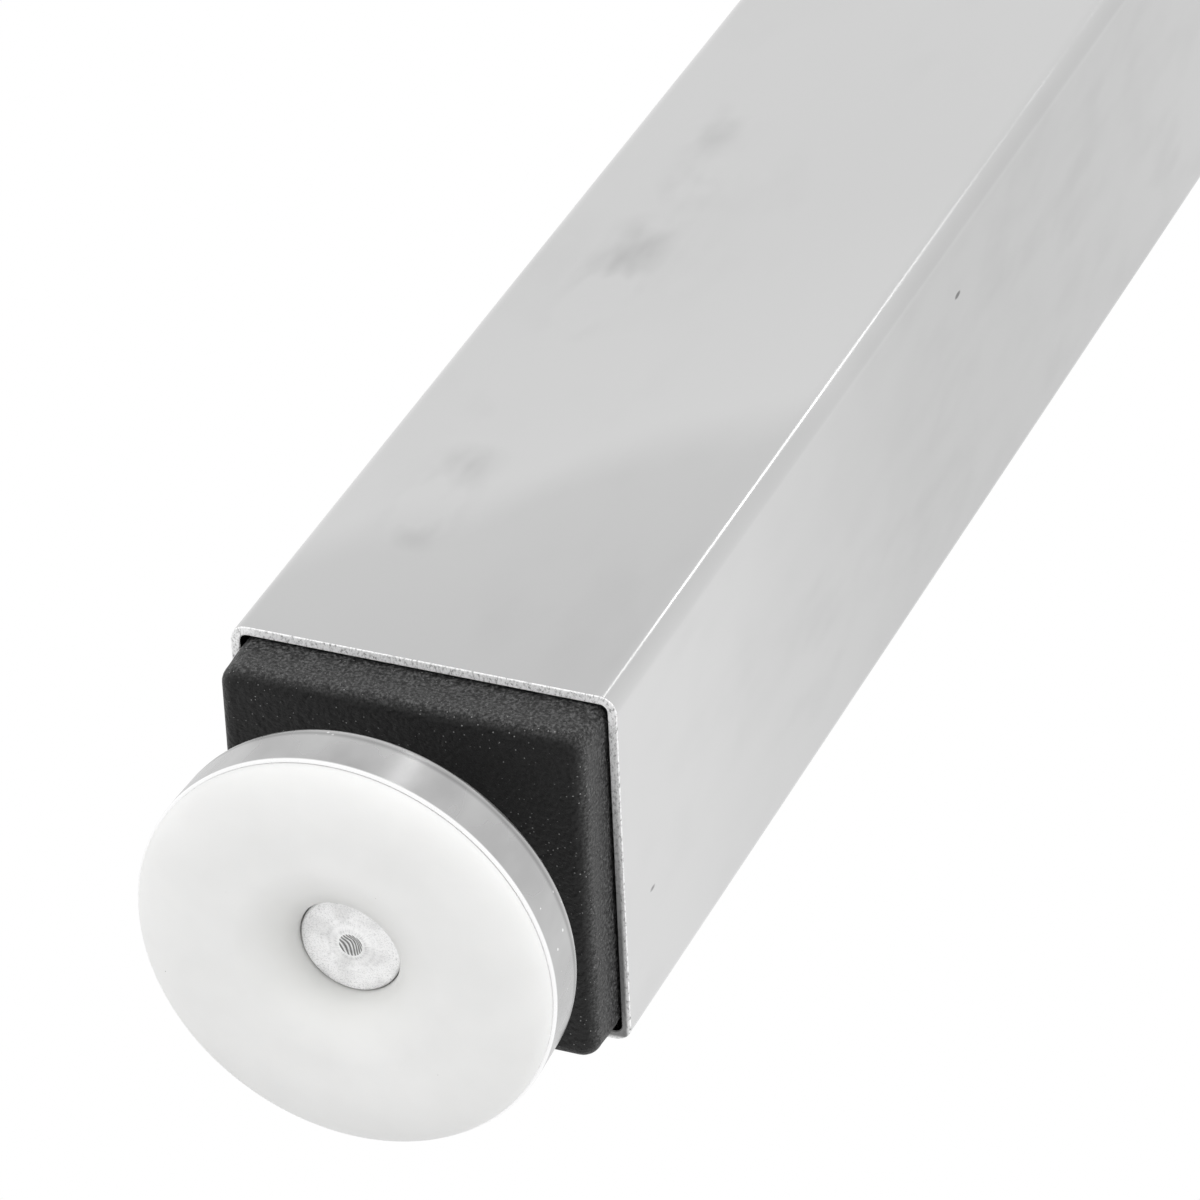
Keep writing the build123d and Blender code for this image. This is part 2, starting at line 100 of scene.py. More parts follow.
# Materials. A Math node takes its terms at sockets 0, 1 and 2, and a Mix node takes these

FACTOR = 0
NUMBER_A, NUMBER_B = 2, 3
COLOUR_A, COLOUR_B = 6, 7
COLOURS = {"data_type": "RGBA"}
TINTING = {"data_type": "RGBA", "blend_type": "MULTIPLY"}


def linear(hex_colour):
    """An sRGB hex value as the linear colour that a socket takes."""
    parts = [int(hex_colour[i:i + 2], 16) / 255 for i in (1, 3, 5)]
    levels = [c / 12.92 if c <= 0.04045 else ((c + 0.055) / 1.055) ** 2.4 for c in parts]
    return (*levels, 1.0)


def per(size_mm):
    """The texture scale at which a pattern's features have that size."""
    return 1 / (size_mm * MM)


def add_node(tree, kind, inputs=None, stops=(), **settings):
    """Adds one node with its settings and links. An input is a value, a node's output, a node (its first
    output in use is meant) or a list of nodes. Stops are a colour ramp's positions and colours."""
    node = tree.nodes.new(kind)
    for key, value in settings.items():
        setattr(node, key, value)
    for index, (position, colour) in enumerate(stops):
        elements = node.color_ramp.elements
        element = elements[index] if index < len(elements) else elements.new(position)
        element.position, element.color = position, linear(colour)
    for key, value in (inputs or {}).items():
        for source in value if isinstance(value, list) else [value]:
            if isinstance(source, bpy.types.Node):
                source = next(output for output in source.outputs if output.enabled)
            if isinstance(source, bpy.types.NodeSocket):
                tree.links.new(source, node.inputs[key])
            else:
                node.inputs[key].default_value = source
    return node


def new_material(name, colour):
    """A material, its empty node tree, and the place on the object that patterns are drawn by."""
    material = bpy.data.materials.new(name)
    material.use_nodes = True
    material.diffuse_color = linear(colour)
    tree = material.node_tree
    tree.nodes.clear()
    return material, tree, add_node(tree, "ShaderNodeTexCoord").outputs["Object"]


# In millimetres: the painted reflection tones' levels along the tube, how far they wander, and the
# smears' X
TONE_FOOT, TONE_HEAD = -700, -50
TONE_WANDER = 14
SMEAR_LINE = -12.5


def plated_tube():
    # Chromium plate on drawn steel tube: a bright satin skin. Broad soft clouds of painted reflection lie
    # across it, the first of them a painted darker patch slanting over the foot. Handling has left a row
    # of faint smears along one line, and there are a few pits
    material, tree, place = new_material("chromium_plated_tube", "#CFCFCF")
    axes = add_node(tree, "ShaderNodeSeparateXYZ", {"Vector": place})
    long_way = add_node(tree, "ShaderNodeMapping", {"Vector": place, "Scale": (1, 1, 0.4)})
    drift = add_node(tree, "ShaderNodeTexNoise", {"Vector": long_way, "Scale": per(26), "Detail": 2.0})
    wander = add_node(tree, "ShaderNodeMapRange", {
        "Value": drift, "To Min": -TONE_WANDER * MM, "To Max": TONE_WANDER * MM})

    def along(slant, stops):
        """Painted reflection along the tube from foot to head, slanting across the face and wandering a
        little.
        """
        level = add_node(tree, "ShaderNodeMath", {
            0: axes.outputs["X"], 1: -slant, 2: axes.outputs["Z"]}, operation="MULTIPLY_ADD")
        level = add_node(tree, "ShaderNodeMath", {0: level, 1: wander}, operation="ADD")
        share = add_node(tree, "ShaderNodeMapRange", {
            "Value": level, "From Min": TONE_FOOT * MM, "From Max": TONE_HEAD * MM})
        return add_node(tree, "ShaderNodeValToRGB", {"Fac": share}, stops)

    broad_painted_reflection = along(1.14, [
        (0.0, "#C0C0C0"), (0.06, "#C5C5C5"), (0.083, "#C7C7C7"), (0.1, "#D1D1D1"), (0.2, "#CECECE"),
        (0.3, "#CFCFCF"), (0.5, "#C6C6C6"), (0.72, "#CECECE"), (1.0, "#C4C4C4")])
    narrow_painted_reflection = along(0.3, [
        (0.0, "#D6D6D6"), (0.05, "#D2D2D2"), (0.1, "#C9C9C9"), (0.17, "#BCBCBC"), (0.24, "#BABABA"),
        (0.31, "#BCBCBC"), (0.5, "#CBCBCB"), (0.75, "#C1C1C1"), (1.0, "#C9C9C9")])
    # Painted reflections: broad clouds on the faces towards -X and -Y, narrow ones on those towards +X
    # and +Y
    side = add_node(tree, "ShaderNodeMath", {0: axes.outputs["X"], 1: axes.outputs["Y"]}, operation="ADD")
    which = add_node(tree, "ShaderNodeMapRange", {"Value": side, "From Min": -3 * MM, "From Max": 3 * MM})
    tone = add_node(tree, "ShaderNodeMix", {FACTOR: which, COLOUR_A: broad_painted_reflection, COLOUR_B: narrow_painted_reflection}, **COLOURS)

    streak_way = add_node(tree, "ShaderNodeMapping", {"Vector": place, "Scale": (1, 1, 0.45)})
    smear = add_node(tree, "ShaderNodeTexNoise", {
        "Vector": streak_way, "Scale": per(5.5), "Detail": 2.0, "Roughness": 0.4})
    group = add_node(tree, "ShaderNodeTexNoise", {"Vector": place, "Scale": per(24), "Detail": 1.0})
    grouped = add_node(tree, "ShaderNodeMapRange", {"Value": group, "From Min": 0.44, "From Max": 0.62})
    off_line = add_node(tree, "ShaderNodeMath", {
        0: axes.outputs["X"], 1: -SMEAR_LINE * MM}, operation="ADD")
    off_line = add_node(tree, "ShaderNodeMath", {0: off_line}, operation="ABSOLUTE")
    on_line = add_node(tree, "ShaderNodeMapRange", {
        "Value": off_line, "From Min": 1 * MM, "From Max": 5.5 * MM, "To Min": 1.0, "To Max": 0.1})
    smeared = add_node(tree, "ShaderNodeMath", {0: grouped, 1: on_line}, operation="MULTIPLY")
    smears = add_node(tree, "ShaderNodeValToRGB", {"Fac": smear}, [
        (0.42, "#FFFFFF"), (0.6, "#EBEBEB"), (0.8, "#D8D8D8")])
    smears = add_node(tree, "ShaderNodeMix", {
        FACTOR: smeared, COLOUR_A: linear("#FFFFFF"), COLOUR_B: smears}, **COLOURS)
    pit = add_node(tree, "ShaderNodeTexVoronoi", {"Vector": long_way, "Scale": per(15)})
    pits = add_node(tree, "ShaderNodeValToRGB", {"Fac": pit}, [(0.02, "#808080"), (0.032, "#FFFFFF")])
    marked = add_node(tree, "ShaderNodeMix", {FACTOR: 1.0, COLOUR_A: tone, COLOUR_B: smears}, **TINTING)
    pitted = add_node(tree, "ShaderNodeMix", {FACTOR: 1.0, COLOUR_A: marked, COLOUR_B: pits}, **TINTING)
    rough = add_node(tree, "ShaderNodeMapRange", {
        "Value": smear, "From Min": 0.35, "From Max": 0.75, "To Min": 0.17, "To Max": 0.26})
    drawn_way = add_node(tree, "ShaderNodeMapping", {"Vector": place, "Scale": (1, 1, 0.02)})
    drawn = add_node(tree, "ShaderNodeTexNoise", {"Vector": drawn_way, "Scale": per(0.5), "Detail": 2.0})
    bump = add_node(tree, "ShaderNodeBump", {"Height": drawn, "Strength": 0.04, "Distance": 0.05 * MM})
    shader = add_node(tree, "ShaderNodeBsdfPrincipled", {
        "Base Color": pitted, "Metallic": 1.0, "Roughness": rough, "Normal": bump})
    add_node(tree, "ShaderNodeOutputMaterial", {"Surface": shader})
    return material


def sawn_steel():
    # Saw-cut end of the tube, plated over: torn across by the teeth, so it scatters light
    # and glitters point by point instead of mirroring. Its inner edge has painted burr shade, darker
    # towards +Y
    material, tree, place = new_material("sawn_plated_rim", "#DCDCDC")
    torn_way = add_node(tree, "ShaderNodeMapping", {
        "Vector": place, "Scale": (1, 0.6, 1), "Rotation": (0, 0, 0.6)})
    torn = add_node(tree, "ShaderNodeTexNoise", {
        "Vector": torn_way, "Scale": per(0.4), "Detail": 4.0, "Roughness": 0.75})
    tone = add_node(tree, "ShaderNodeValToRGB", {"Fac": torn}, [
        (0.34, "#8C8C8C"), (0.45, "#E6E6E6"), (0.55, "#FFFFFF")])
    distance = add_node(tree, "ShaderNodeVectorMath", {0: place}, operation="ABSOLUTE")
    away = add_node(tree, "ShaderNodeSeparateXYZ", {"Vector": distance})
    outward = add_node(tree, "ShaderNodeMath", {
        0: away.outputs["X"], 1: away.outputs["Y"]}, operation="MAXIMUM")
    # Painted shade from the burr along the inner edge, darker towards the +Y face
    inner = add_node(tree, "ShaderNodeMapRange", {
        "Value": outward, "From Min": (tube_high.x - 0.25 * TUBE_WALL) * MM,
        "From Max": (tube_high.x - 0.55 * TUBE_WALL) * MM})
    axes = add_node(tree, "ShaderNodeSeparateXYZ", {"Vector": place})
    cornerward = add_node(tree, "ShaderNodeMapRange", {
        "Value": axes.outputs["Y"], "From Min": -22 * MM, "From Max": 10 * MM,
        "To Min": 0.0, "To Max": 0.9})
    painted_burr_shade = add_node(tree, "ShaderNodeMath", {0: inner, 1: cornerward}, operation="MULTIPLY")
    tone = add_node(tree, "ShaderNodeMix", {
        FACTOR: painted_burr_shade, COLOUR_A: tone, COLOUR_B: linear("#6C6C6C")}, **COLOURS)
    bump = add_node(tree, "ShaderNodeBump", {"Height": torn, "Strength": 0.5, "Distance": 0.15 * MM})
    shader = add_node(tree, "ShaderNodeBsdfPrincipled", {
        "Base Color": tone, "Metallic": 0.2, "Roughness": 0.45, "Normal": bump})
    add_node(tree, "ShaderNodeOutputMaterial", {"Surface": shader})
    return material


def black_moulding(name, colour, tint_and_painted_light, grain_mm, dusty):
    # Polypropylene moulded in a spark-eroded mould: deep black, dull, with a pebbled grain. The grain is
    # drawn a little coarser than life so that it shows. Specks of pale dust have settled on it, and its
    # upright sides carry a painted sheen, greyer than its ends
    material, tree, place = new_material(name, colour)
    pebble = add_node(tree, "ShaderNodeTexVoronoi", {"Vector": place, "Scale": per(1.8 * grain_mm)},
                      feature="SMOOTH_F1")
    grain = add_node(tree, "ShaderNodeTexNoise", {
        "Vector": place, "Scale": per(grain_mm), "Detail": 3.0, "Roughness": 0.75})
    surface = add_node(tree, "ShaderNodeMath", {0: grain, 1: 0.8, 2: pebble}, operation="MULTIPLY_ADD")
    bump = add_node(tree, "ShaderNodeBump", {"Height": surface, "Strength": 0.9, "Distance": 0.35 * MM})
    rough = add_node(tree, "ShaderNodeMapRange", {
        "Value": grain, "From Min": 0.3, "From Max": 0.7, "To Min": 0.38, "To Max": 0.62})
    # Painted sheen: the upright sides are greyer than the ends
    facing = add_node(tree, "ShaderNodeSeparateXYZ", {
        "Vector": add_node(tree, "ShaderNodeTexCoord").outputs["Normal"]})
    endwise = add_node(tree, "ShaderNodeMath", {0: facing.outputs["Z"]}, operation="ABSOLUTE")
    painted_side_sheen = add_node(tree, "ShaderNodeMapRange", {
        "Value": endwise, "From Min": 0.9, "From Max": 0.3, "To Min": 0.0, "To Max": 1.0})
    painted_side_sheen = add_node(tree, "ShaderNodeMath", {0: painted_side_sheen, 1: grain}, operation="MULTIPLY")
    base = add_node(tree, "ShaderNodeMix", {
        FACTOR: painted_side_sheen, COLOUR_A: linear(colour), COLOUR_B: linear(tint_and_painted_light)}, **COLOURS)
    hollow = add_node(tree, "ShaderNodeValToRGB", {"Fac": grain}, [
        (0.38, "#5A5A5A"), (0.5, "#B0B0B0"), (0.62, "#FFFFFF")])
    base = add_node(tree, "ShaderNodeMix", {FACTOR: 1.0, COLOUR_A: base, COLOUR_B: hollow}, **TINTING)
    fleck = add_node(tree, "ShaderNodeTexVoronoi", {"Vector": place, "Scale": per(0.7)})
    drift = add_node(tree, "ShaderNodeTexNoise", {"Vector": place, "Scale": per(6), "Detail": 2.0})
    reach = add_node(tree, "ShaderNodeMapRange", {
        "Value": drift, "From Min": 0.36, "From Max": 0.62,
        "To Min": 0.05 * dusty, "To Max": 0.13 * dusty})
    dust = add_node(tree, "ShaderNodeMath", {0: fleck, 1: reach}, operation="LESS_THAN")
    tone = add_node(tree, "ShaderNodeMix", {
        FACTOR: dust, COLOUR_A: base, COLOUR_B: linear("#8A8A8A")}, **COLOURS)
    shader = add_node(tree, "ShaderNodeBsdfPrincipled", {
        "Base Color": tone, "Roughness": rough, "Specular IOR Level": 0.32, "Normal": bump})
    add_node(tree, "ShaderNodeOutputMaterial", {"Surface": shader})
    return material


def drawn_cup_steel():
    # Deep-drawn steel cup, nickel plated: bright and a little hazy, with soft upright smears from the
    # press tool, faint clouds, and dots where the plate has blistered. Both edges carry a painted
    # highlight, and a darker line runs round where the wall begins to bend
    material, tree, place = new_material("drawn_nickel_plated_cup", "#C6C6C6")
    cloud_way = add_node(tree, "ShaderNodeMapping", {"Vector": place, "Scale": (1, 1, 0.5)})
    cloud = add_node(tree, "ShaderNodeTexNoise", {"Vector": cloud_way, "Scale": per(9), "Detail": 3.0})
    tone = add_node(tree, "ShaderNodeValToRGB", {"Fac": cloud}, [(0.32, "#A8A8A8"), (0.68, "#C2C2C2")])
    blister = add_node(tree, "ShaderNodeTexVoronoi", {"Vector": place, "Scale": per(1.6)})
    near = add_node(tree, "ShaderNodeMapRange", {
        "Value": cloud, "From Min": 0.45, "From Max": 0.65, "To Min": 0.0, "To Max": 0.12})
    dots = add_node(tree, "ShaderNodeMath", {0: blister, 1: near}, operation="LESS_THAN")
    dotted = add_node(tree, "ShaderNodeMix", {
        FACTOR: dots, COLOUR_A: tone, COLOUR_B: linear("#F2F2F2")}, **COLOURS)
    axes = add_node(tree, "ShaderNodeSeparateXYZ", {"Vector": place})
    share = add_node(tree, "ShaderNodeMapRange", {
        "Value": axes.outputs["Z"], "From Min": cup_low.z * MM, "From Max": cup_high.z * MM})
    # A darker line round where the wall begins to bend
    bend = add_node(tree, "ShaderNodeValToRGB", {"Fac": share}, [
        (0.7, "#FFFFFF"), (0.77, "#D2D2D2"), (0.84, "#FFFFFF")])
    bent = add_node(tree, "ShaderNodeMix", {FACTOR: 1.0, COLOUR_A: dotted, COLOUR_B: bend}, **TINTING)
    # Painted highlights along both edges
    edges = add_node(tree, "ShaderNodeValToRGB", {"Fac": share}, [
        (0.035, "#FFFFFF"), (0.065, "#000000"), (0.93, "#000000"), (0.96, "#FFFFFF")])
    edge_highlighted = add_node(tree, "ShaderNodeMix", {
        FACTOR: edges, COLOUR_A: bent, COLOUR_B: linear("#FFFFFF")}, **COLOURS)
    drag_way = add_node(tree, "ShaderNodeMapping", {"Vector": place, "Scale": (1, 1, 0.15)})
    drag = add_node(tree, "ShaderNodeTexNoise", {"Vector": drag_way, "Scale": per(1.4), "Detail": 2.0})
    bump = add_node(tree, "ShaderNodeBump", {"Height": drag, "Strength": 0.06, "Distance": 0.05 * MM})
    rough = add_node(tree, "ShaderNodeMapRange", {
        "Value": cloud, "From Min": 0.3, "From Max": 0.7, "To Min": 0.22, "To Max": 0.32})
    shader = add_node(tree, "ShaderNodeBsdfPrincipled", {
        "Base Color": edge_highlighted, "Metallic": 0.85, "Roughness": rough, "Normal": bump})
    add_node(tree, "ShaderNodeOutputMaterial", {"Surface": shader})
    return material


def spun_steel():
    # Stud head spun over by a riveting tool: pale silvery grey, short radial tears, faint rings round the
    # middle, a scatter of bright and dark grains towards the edge, and dark scratches in the centre mark
    material, tree, place = new_material("spun_stud_steel", "#E2E2E2")
    flat = add_node(tree, "ShaderNodeMapping", {"Vector": place, "Scale": (1, 1, 0)})
    axes = add_node(tree, "ShaderNodeSeparateXYZ", {"Vector": place})
    radius = add_node(tree, "ShaderNodeVectorMath", {0: flat}, operation="LENGTH")
    angle = add_node(tree, "ShaderNodeMath", {
        0: axes.outputs["Y"], 1: axes.outputs["X"]}, operation="ARCTAN2")
    spokes = add_node(tree, "ShaderNodeMath", {0: angle, 1: 6 * MM}, operation="MULTIPLY")
    slow = add_node(tree, "ShaderNodeMath", {0: radius, 1: 0.25}, operation="MULTIPLY")
    spoke_way = add_node(tree, "ShaderNodeCombineXYZ", {"X": spokes, "Y": slow})
    tear = add_node(tree, "ShaderNodeTexNoise", {"Vector": spoke_way, "Scale": per(0.35), "Detail": 3.0})
    grain = add_node(tree, "ShaderNodeTexNoise", {
        "Vector": place, "Scale": per(0.22), "Detail": 3.0, "Roughness": 0.8})
    outward = add_node(tree, "ShaderNodeMapRange", {
        "Value": radius, "From Min": 1 * MM, "From Max": 5.5 * MM, "To Min": 0.35, "To Max": 1.0})
    both = add_node(tree, "ShaderNodeMix", {FACTOR: outward, NUMBER_A: tear, NUMBER_B: grain})
    ring_scale = per(0.5) / FULL_TURN
    rings = add_node(tree, "ShaderNodeTexWave", {
        "Vector": flat, "Scale": ring_scale, "Distortion": 2.0, "Detail": 2.0},
                     wave_type="RINGS", rings_direction="Z")
    inward = add_node(tree, "ShaderNodeMapRange", {
        "Value": radius, "From Min": 1 * MM, "From Max": 4.5 * MM, "To Min": 0.16, "To Max": 0.0})
    height = add_node(tree, "ShaderNodeMix", {
        FACTOR: inward, NUMBER_A: both, NUMBER_B: rings.outputs["Fac"]})
    tone = add_node(tree, "ShaderNodeValToRGB", {"Fac": height}, [
        (0.3, "#C4C4C4"), (0.43, "#EFEFEF"), (0.55, "#FFFFFF")])
    slack = add_node(tree, "ShaderNodeTexNoise", {"Vector": flat, "Scale": per(4), "Detail": 1.0})
    worn = add_node(tree, "ShaderNodeValToRGB", {"Fac": slack}, [(0.4, "#EFEFEF"), (0.55, "#FFFFFF")])
    tone = add_node(tree, "ShaderNodeMix", {FACTOR: 1.0, COLOUR_A: tone, COLOUR_B: worn}, **TINTING)
    scratch_way = add_node(tree, "ShaderNodeMapping", {"Vector": place, "Rotation": (0, 0, 0.5)})
    scratches = add_node(tree, "ShaderNodeTexWave", {
        "Vector": scratch_way, "Scale": per(0.4) / FULL_TURN * 2, "Distortion": 1.2, "Detail": 2.0})
    middle = add_node(tree, "ShaderNodeMath", {0: radius, 1: 1.5 * MM}, operation="LESS_THAN")
    struck = add_node(tree, "ShaderNodeMath", {
        0: scratches.outputs["Fac"], 1: middle}, operation="MULTIPLY")
    tone = add_node(tree, "ShaderNodeMix", {
        FACTOR: struck, COLOUR_A: tone, COLOUR_B: linear("#5E5E5E")}, **COLOURS)
    bump = add_node(tree, "ShaderNodeBump", {"Height": height, "Strength": 0.5, "Distance": 0.12 * MM})
    shader = add_node(tree, "ShaderNodeBsdfPrincipled", {
        "Base Color": tone, "Metallic": 0.5, "Roughness": 0.42, "Normal": bump})
    add_node(tree, "ShaderNodeOutputMaterial", {"Surface": shader})
    return material


def moulded_nylon(name, colour, fleck_colour, dirty, painted_recess_shade="#FFFFFF"):
    # Nylon 6 as moulded: off-white and slightly translucent, a soft satin with faint flow clouds.
    # Small dark flecks are burnt granules and dust. Painted shade darkens the recess round the axis
    material, tree, place = new_material(name, colour)
    cloud = add_node(tree, "ShaderNodeTexNoise", {"Vector": place, "Scale": per(11), "Detail": 3.0})
    flow = add_node(tree, "ShaderNodeValToRGB", {"Fac": cloud}, [(0.3, "#FAFAFA"), (0.65, "#FFFFFF")])
    tinted = add_node(tree, "ShaderNodeMix", {
        FACTOR: 1.0, COLOUR_A: flow, COLOUR_B: linear(colour)}, **TINTING)
    flat = add_node(tree, "ShaderNodeMapping", {"Vector": place, "Scale": (1, 1, 0)})
    radius = add_node(tree, "ShaderNodeVectorMath", {0: flat}, operation="LENGTH")
    outward = add_node(tree, "ShaderNodeMapRange", {
        "Value": radius, "From Min": 6.5 * MM, "From Max": 14 * MM})
    # Painted shade, darker towards the recess round the axis
    tint_and_painted_light = add_node(tree, "ShaderNodeValToRGB", {"Fac": outward}, [(0.0, painted_recess_shade), (0.9, "#FFFFFF")])
    tinted = add_node(tree, "ShaderNodeMix", {FACTOR: 1.0, COLOUR_A: tinted, COLOUR_B: tint_and_painted_light}, **TINTING)
    fleck = add_node(tree, "ShaderNodeTexVoronoi", {"Vector": place, "Scale": per(3)})
    reach = add_node(tree, "ShaderNodeMapRange", {
        "Value": cloud, "From Min": 0.46, "From Max": 0.64, "To Min": 0.0, "To Max": dirty})
    near = add_node(tree, "ShaderNodeMath", {0: fleck, 1: reach}, operation="LESS_THAN")
    soiled = add_node(tree, "ShaderNodeMix", {
        FACTOR: near, COLOUR_A: tinted, COLOUR_B: linear(fleck_colour)}, **COLOURS)
    skin = add_node(tree, "ShaderNodeTexNoise", {"Vector": place, "Scale": per(0.8), "Detail": 2.0})
    bump = add_node(tree, "ShaderNodeBump", {"Height": skin, "Strength": 0.1, "Distance": 0.06 * MM})
    shader = add_node(tree, "ShaderNodeBsdfPrincipled", {
        "Base Color": soiled, "Roughness": 0.38, "IOR": 1.53, "Subsurface Weight": 0.12,
        "Subsurface Scale": 1.5 * MM, "Subsurface Radius": (1.0, 0.95, 0.88), "Normal": bump})
    add_node(tree, "ShaderNodeOutputMaterial", {"Surface": shader})
    return material


def zinc_plated(name, low, high, roughness, lay):
    # Bright zinc plate on rolled or turned steel: cool grey with a faint bluish and straw passivation,
    # and the fine lay of the sheet or bar under it
    material, tree, place = new_material(name, high)
    cloud = add_node(tree, "ShaderNodeTexNoise", {
        "Vector": place, "Scale": per(16), "Detail": 4.0, "Roughness": 0.6})
    tone = add_node(tree, "ShaderNodeValToRGB", {"Fac": cloud}, [(0.35, low), (0.65, high)])
    hue = add_node(tree, "ShaderNodeTexNoise", {"Vector": place, "Scale": per(30), "Detail": 1.0})
    tint_and_painted_light = add_node(tree, "ShaderNodeValToRGB", {"Fac": hue}, [(0.35, "#F8FAFF"), (0.65, "#FFFDF7")])
    coated = add_node(tree, "ShaderNodeMix", {FACTOR: 1.0, COLOUR_A: tone, COLOUR_B: tint_and_painted_light}, **TINTING)
    lay_way = add_node(tree, "ShaderNodeMapping", {"Vector": place, "Scale": lay})
    line = add_node(tree, "ShaderNodeTexNoise", {
        "Vector": lay_way, "Scale": per(0.6), "Detail": 3.0, "Roughness": 0.6})
    bump = add_node(tree, "ShaderNodeBump", {"Height": line, "Strength": 0.15, "Distance": 0.08 * MM})
    rough = add_node(tree, "ShaderNodeMapRange", {
        "Value": cloud, "From Min": 0.3, "From Max": 0.7,
        "To Min": roughness - 0.06, "To Max": roughness + 0.08})
    shader = add_node(tree, "ShaderNodeBsdfPrincipled", {
        "Base Color": coated, "Metallic": 1.0, "Roughness": rough, "Normal": bump})
    add_node(tree, "ShaderNodeOutputMaterial", {"Surface": shader})
    return material


def weld_steel():
    # Arc-weld bead under zinc: duller and rougher than the sheet, with a brownish tinge in the hollows
    material, tree, place = new_material("plated_weld_bead", "#9B9A98")
    cloud = add_node(tree, "ShaderNodeTexNoise", {
        "Vector": place, "Scale": per(1.6), "Detail": 4.0, "Roughness": 0.65})
    tone = add_node(tree, "ShaderNodeValToRGB", {"Fac": cloud}, [(0.3, "#6F6861"), (0.65, "#B9BABB")])
    bump = add_node(tree, "ShaderNodeBump", {"Height": cloud, "Strength": 0.4, "Distance": 0.2 * MM})
    shader = add_node(tree, "ShaderNodeBsdfPrincipled", {
        "Base Color": tone, "Metallic": 1.0, "Roughness": 0.42, "Normal": bump})
    add_node(tree, "ShaderNodeOutputMaterial", {"Surface": shader})
    return material


def turned_brass():
    # Free-cutting brass, turned: warm yellow with tool rings
    material, tree, place = new_material("turned_brass", "#D2B36A")
    ring_way = add_node(tree, "ShaderNodeMapping", {"Vector": place, "Scale": (1, 0.08, 0.08)})
    line = add_node(tree, "ShaderNodeTexNoise", {"Vector": ring_way, "Scale": per(0.4), "Detail": 2.0})
    tone = add_node(tree, "ShaderNodeValToRGB", {"Fac": line}, [(0.3, "#B8964C"), (0.7, "#DFC581")])
    bump = add_node(tree, "ShaderNodeBump", {"Height": line, "Strength": 0.2, "Distance": 0.05 * MM})
    shader = add_node(tree, "ShaderNodeBsdfPrincipled", {
        "Base Color": tone, "Metallic": 1.0, "Roughness": 0.28, "Normal": bump})
    add_node(tree, "ShaderNodeOutputMaterial", {"Surface": shader})
    return material


tube_chrome = plated_tube()
rim_steel = sawn_steel()
# Each black moulding's third colour is the painted sheen on its upright sides
plug_black = black_moulding("moulded_polypropylene_plug", "#1E1E1E", "#747474", 0.38, 1.0)
head_black = black_moulding("moulded_polypropylene_head", "#282829", "#404041", 0.5, 0.4)
knob_black = black_moulding("moulded_polypropylene_knob", "#262628", "#343436", 0.5, 0.4)
cup_steel = drawn_cup_steel()
stud_steel = spun_steel()
# The pad's last colour is the painted shade in its recess
pad_nylon = moulded_nylon("moulded_nylon_pad", "#EAEAE9", "#77756F", 0.04, "#F4F4F3")
bush_nylon = moulded_nylon("moulded_nylon_bush", "#E2E0D8", "#8A8578", 0.02)
ring_nylon = moulded_nylon("moulded_nylon_nut_ring", "#B9C3D3", "#8A8F98", 0.02)
sheet_zinc = zinc_plated("zinc_plated_sheet", "#A9ABAF", "#C1C3C7", 0.34, (1, 0.06, 1))
bolt_zinc = zinc_plated("zinc_plated_fastener", "#A2A4A8", "#CBCDD0", 0.26, (0.1, 1, 1))
stud_zinc = zinc_plated("zinc_plated_stud", "#A6A8AB", "#CCCDCF", 0.28, (1, 1, 0.1))
rivet_metal = zinc_plated("polished_rivet", "#B3B4B6", "#D5D6D8", 0.18, (1, 1, 1))
bead_metal = weld_steel()
insert_brass = turned_brass()

# Mesh tools. Outlines are in millimetres, and a base places them in the part's frame, in metres

WELD_DISTANCE = 1e-6
CREASE = 32
FLAT_ANGLE = 0.5
EDGE_ANGLE = 35


def standing(origin, direction, across=(1, 0, 0)):
    """Matrix of a frame in millimetres whose third axis lies along direction at origin (mm)."""
    up = Vector(direction).normalized()
    side = (Vector(across) - Vector(across).dot(up) * up).normalized()
    turn = Matrix((side, up.cross(side), up)).transposed().to_4x4()
    return Matrix.Scale(MM, 4) @ Matrix.Translation(origin) @ turn


def rounded(corners, closed=True, steps=6):
    """Outline through corners (x, y, radius), each turned with an arc."""
    outline = []
    for i, (x, y, radius) in enumerate(corners):
        here = Vector((x, y))
        if radius == 0 or (not closed and i in (0, len(corners) - 1)):
            outline.append((x, y))
            continue
        before = (Vector(corners[i - 1][:2]) - here).normalized()
        after = (Vector(corners[(i + 1) % len(corners)][:2]) - here).normalized()
        half = before.angle(after) / 2
        centre = here + (before + after).normalized() * radius / math.sin(half)
        first = here + before * radius / math.tan(half) - centre
        last = here + after * radius / math.tan(half) - centre
        start = math.atan2(first.y, first.x)
        sweep = (math.atan2(last.y, last.x) - start + math.pi) % FULL_TURN - math.pi
        for step in range(steps + 1):
            angle = start + sweep * step / steps
            outline.append((centre.x + radius * math.cos(angle), centre.y + radius * math.sin(angle)))
    return outline


def quarter(centre, reach, start_angle, steps):
    """Points of a quarter ellipse about centre, from an angle in degrees."""
    angles = [math.radians(start_angle) + RIGHT_ANGLE * step / steps for step in range(steps + 1)]
    return [(centre[0] + reach[0] * math.cos(a), centre[1] + reach[1] * math.sin(a)) for a in angles]


def directions(count):
    """That many angles, evenly round a full turn."""
    return [FULL_TURN * i / count for i in range(count)]


def polar(radius, angle, height):
    """The point at that distance and direction from the third axis."""
    return Vector((radius * math.cos(angle), radius * math.sin(angle), height))


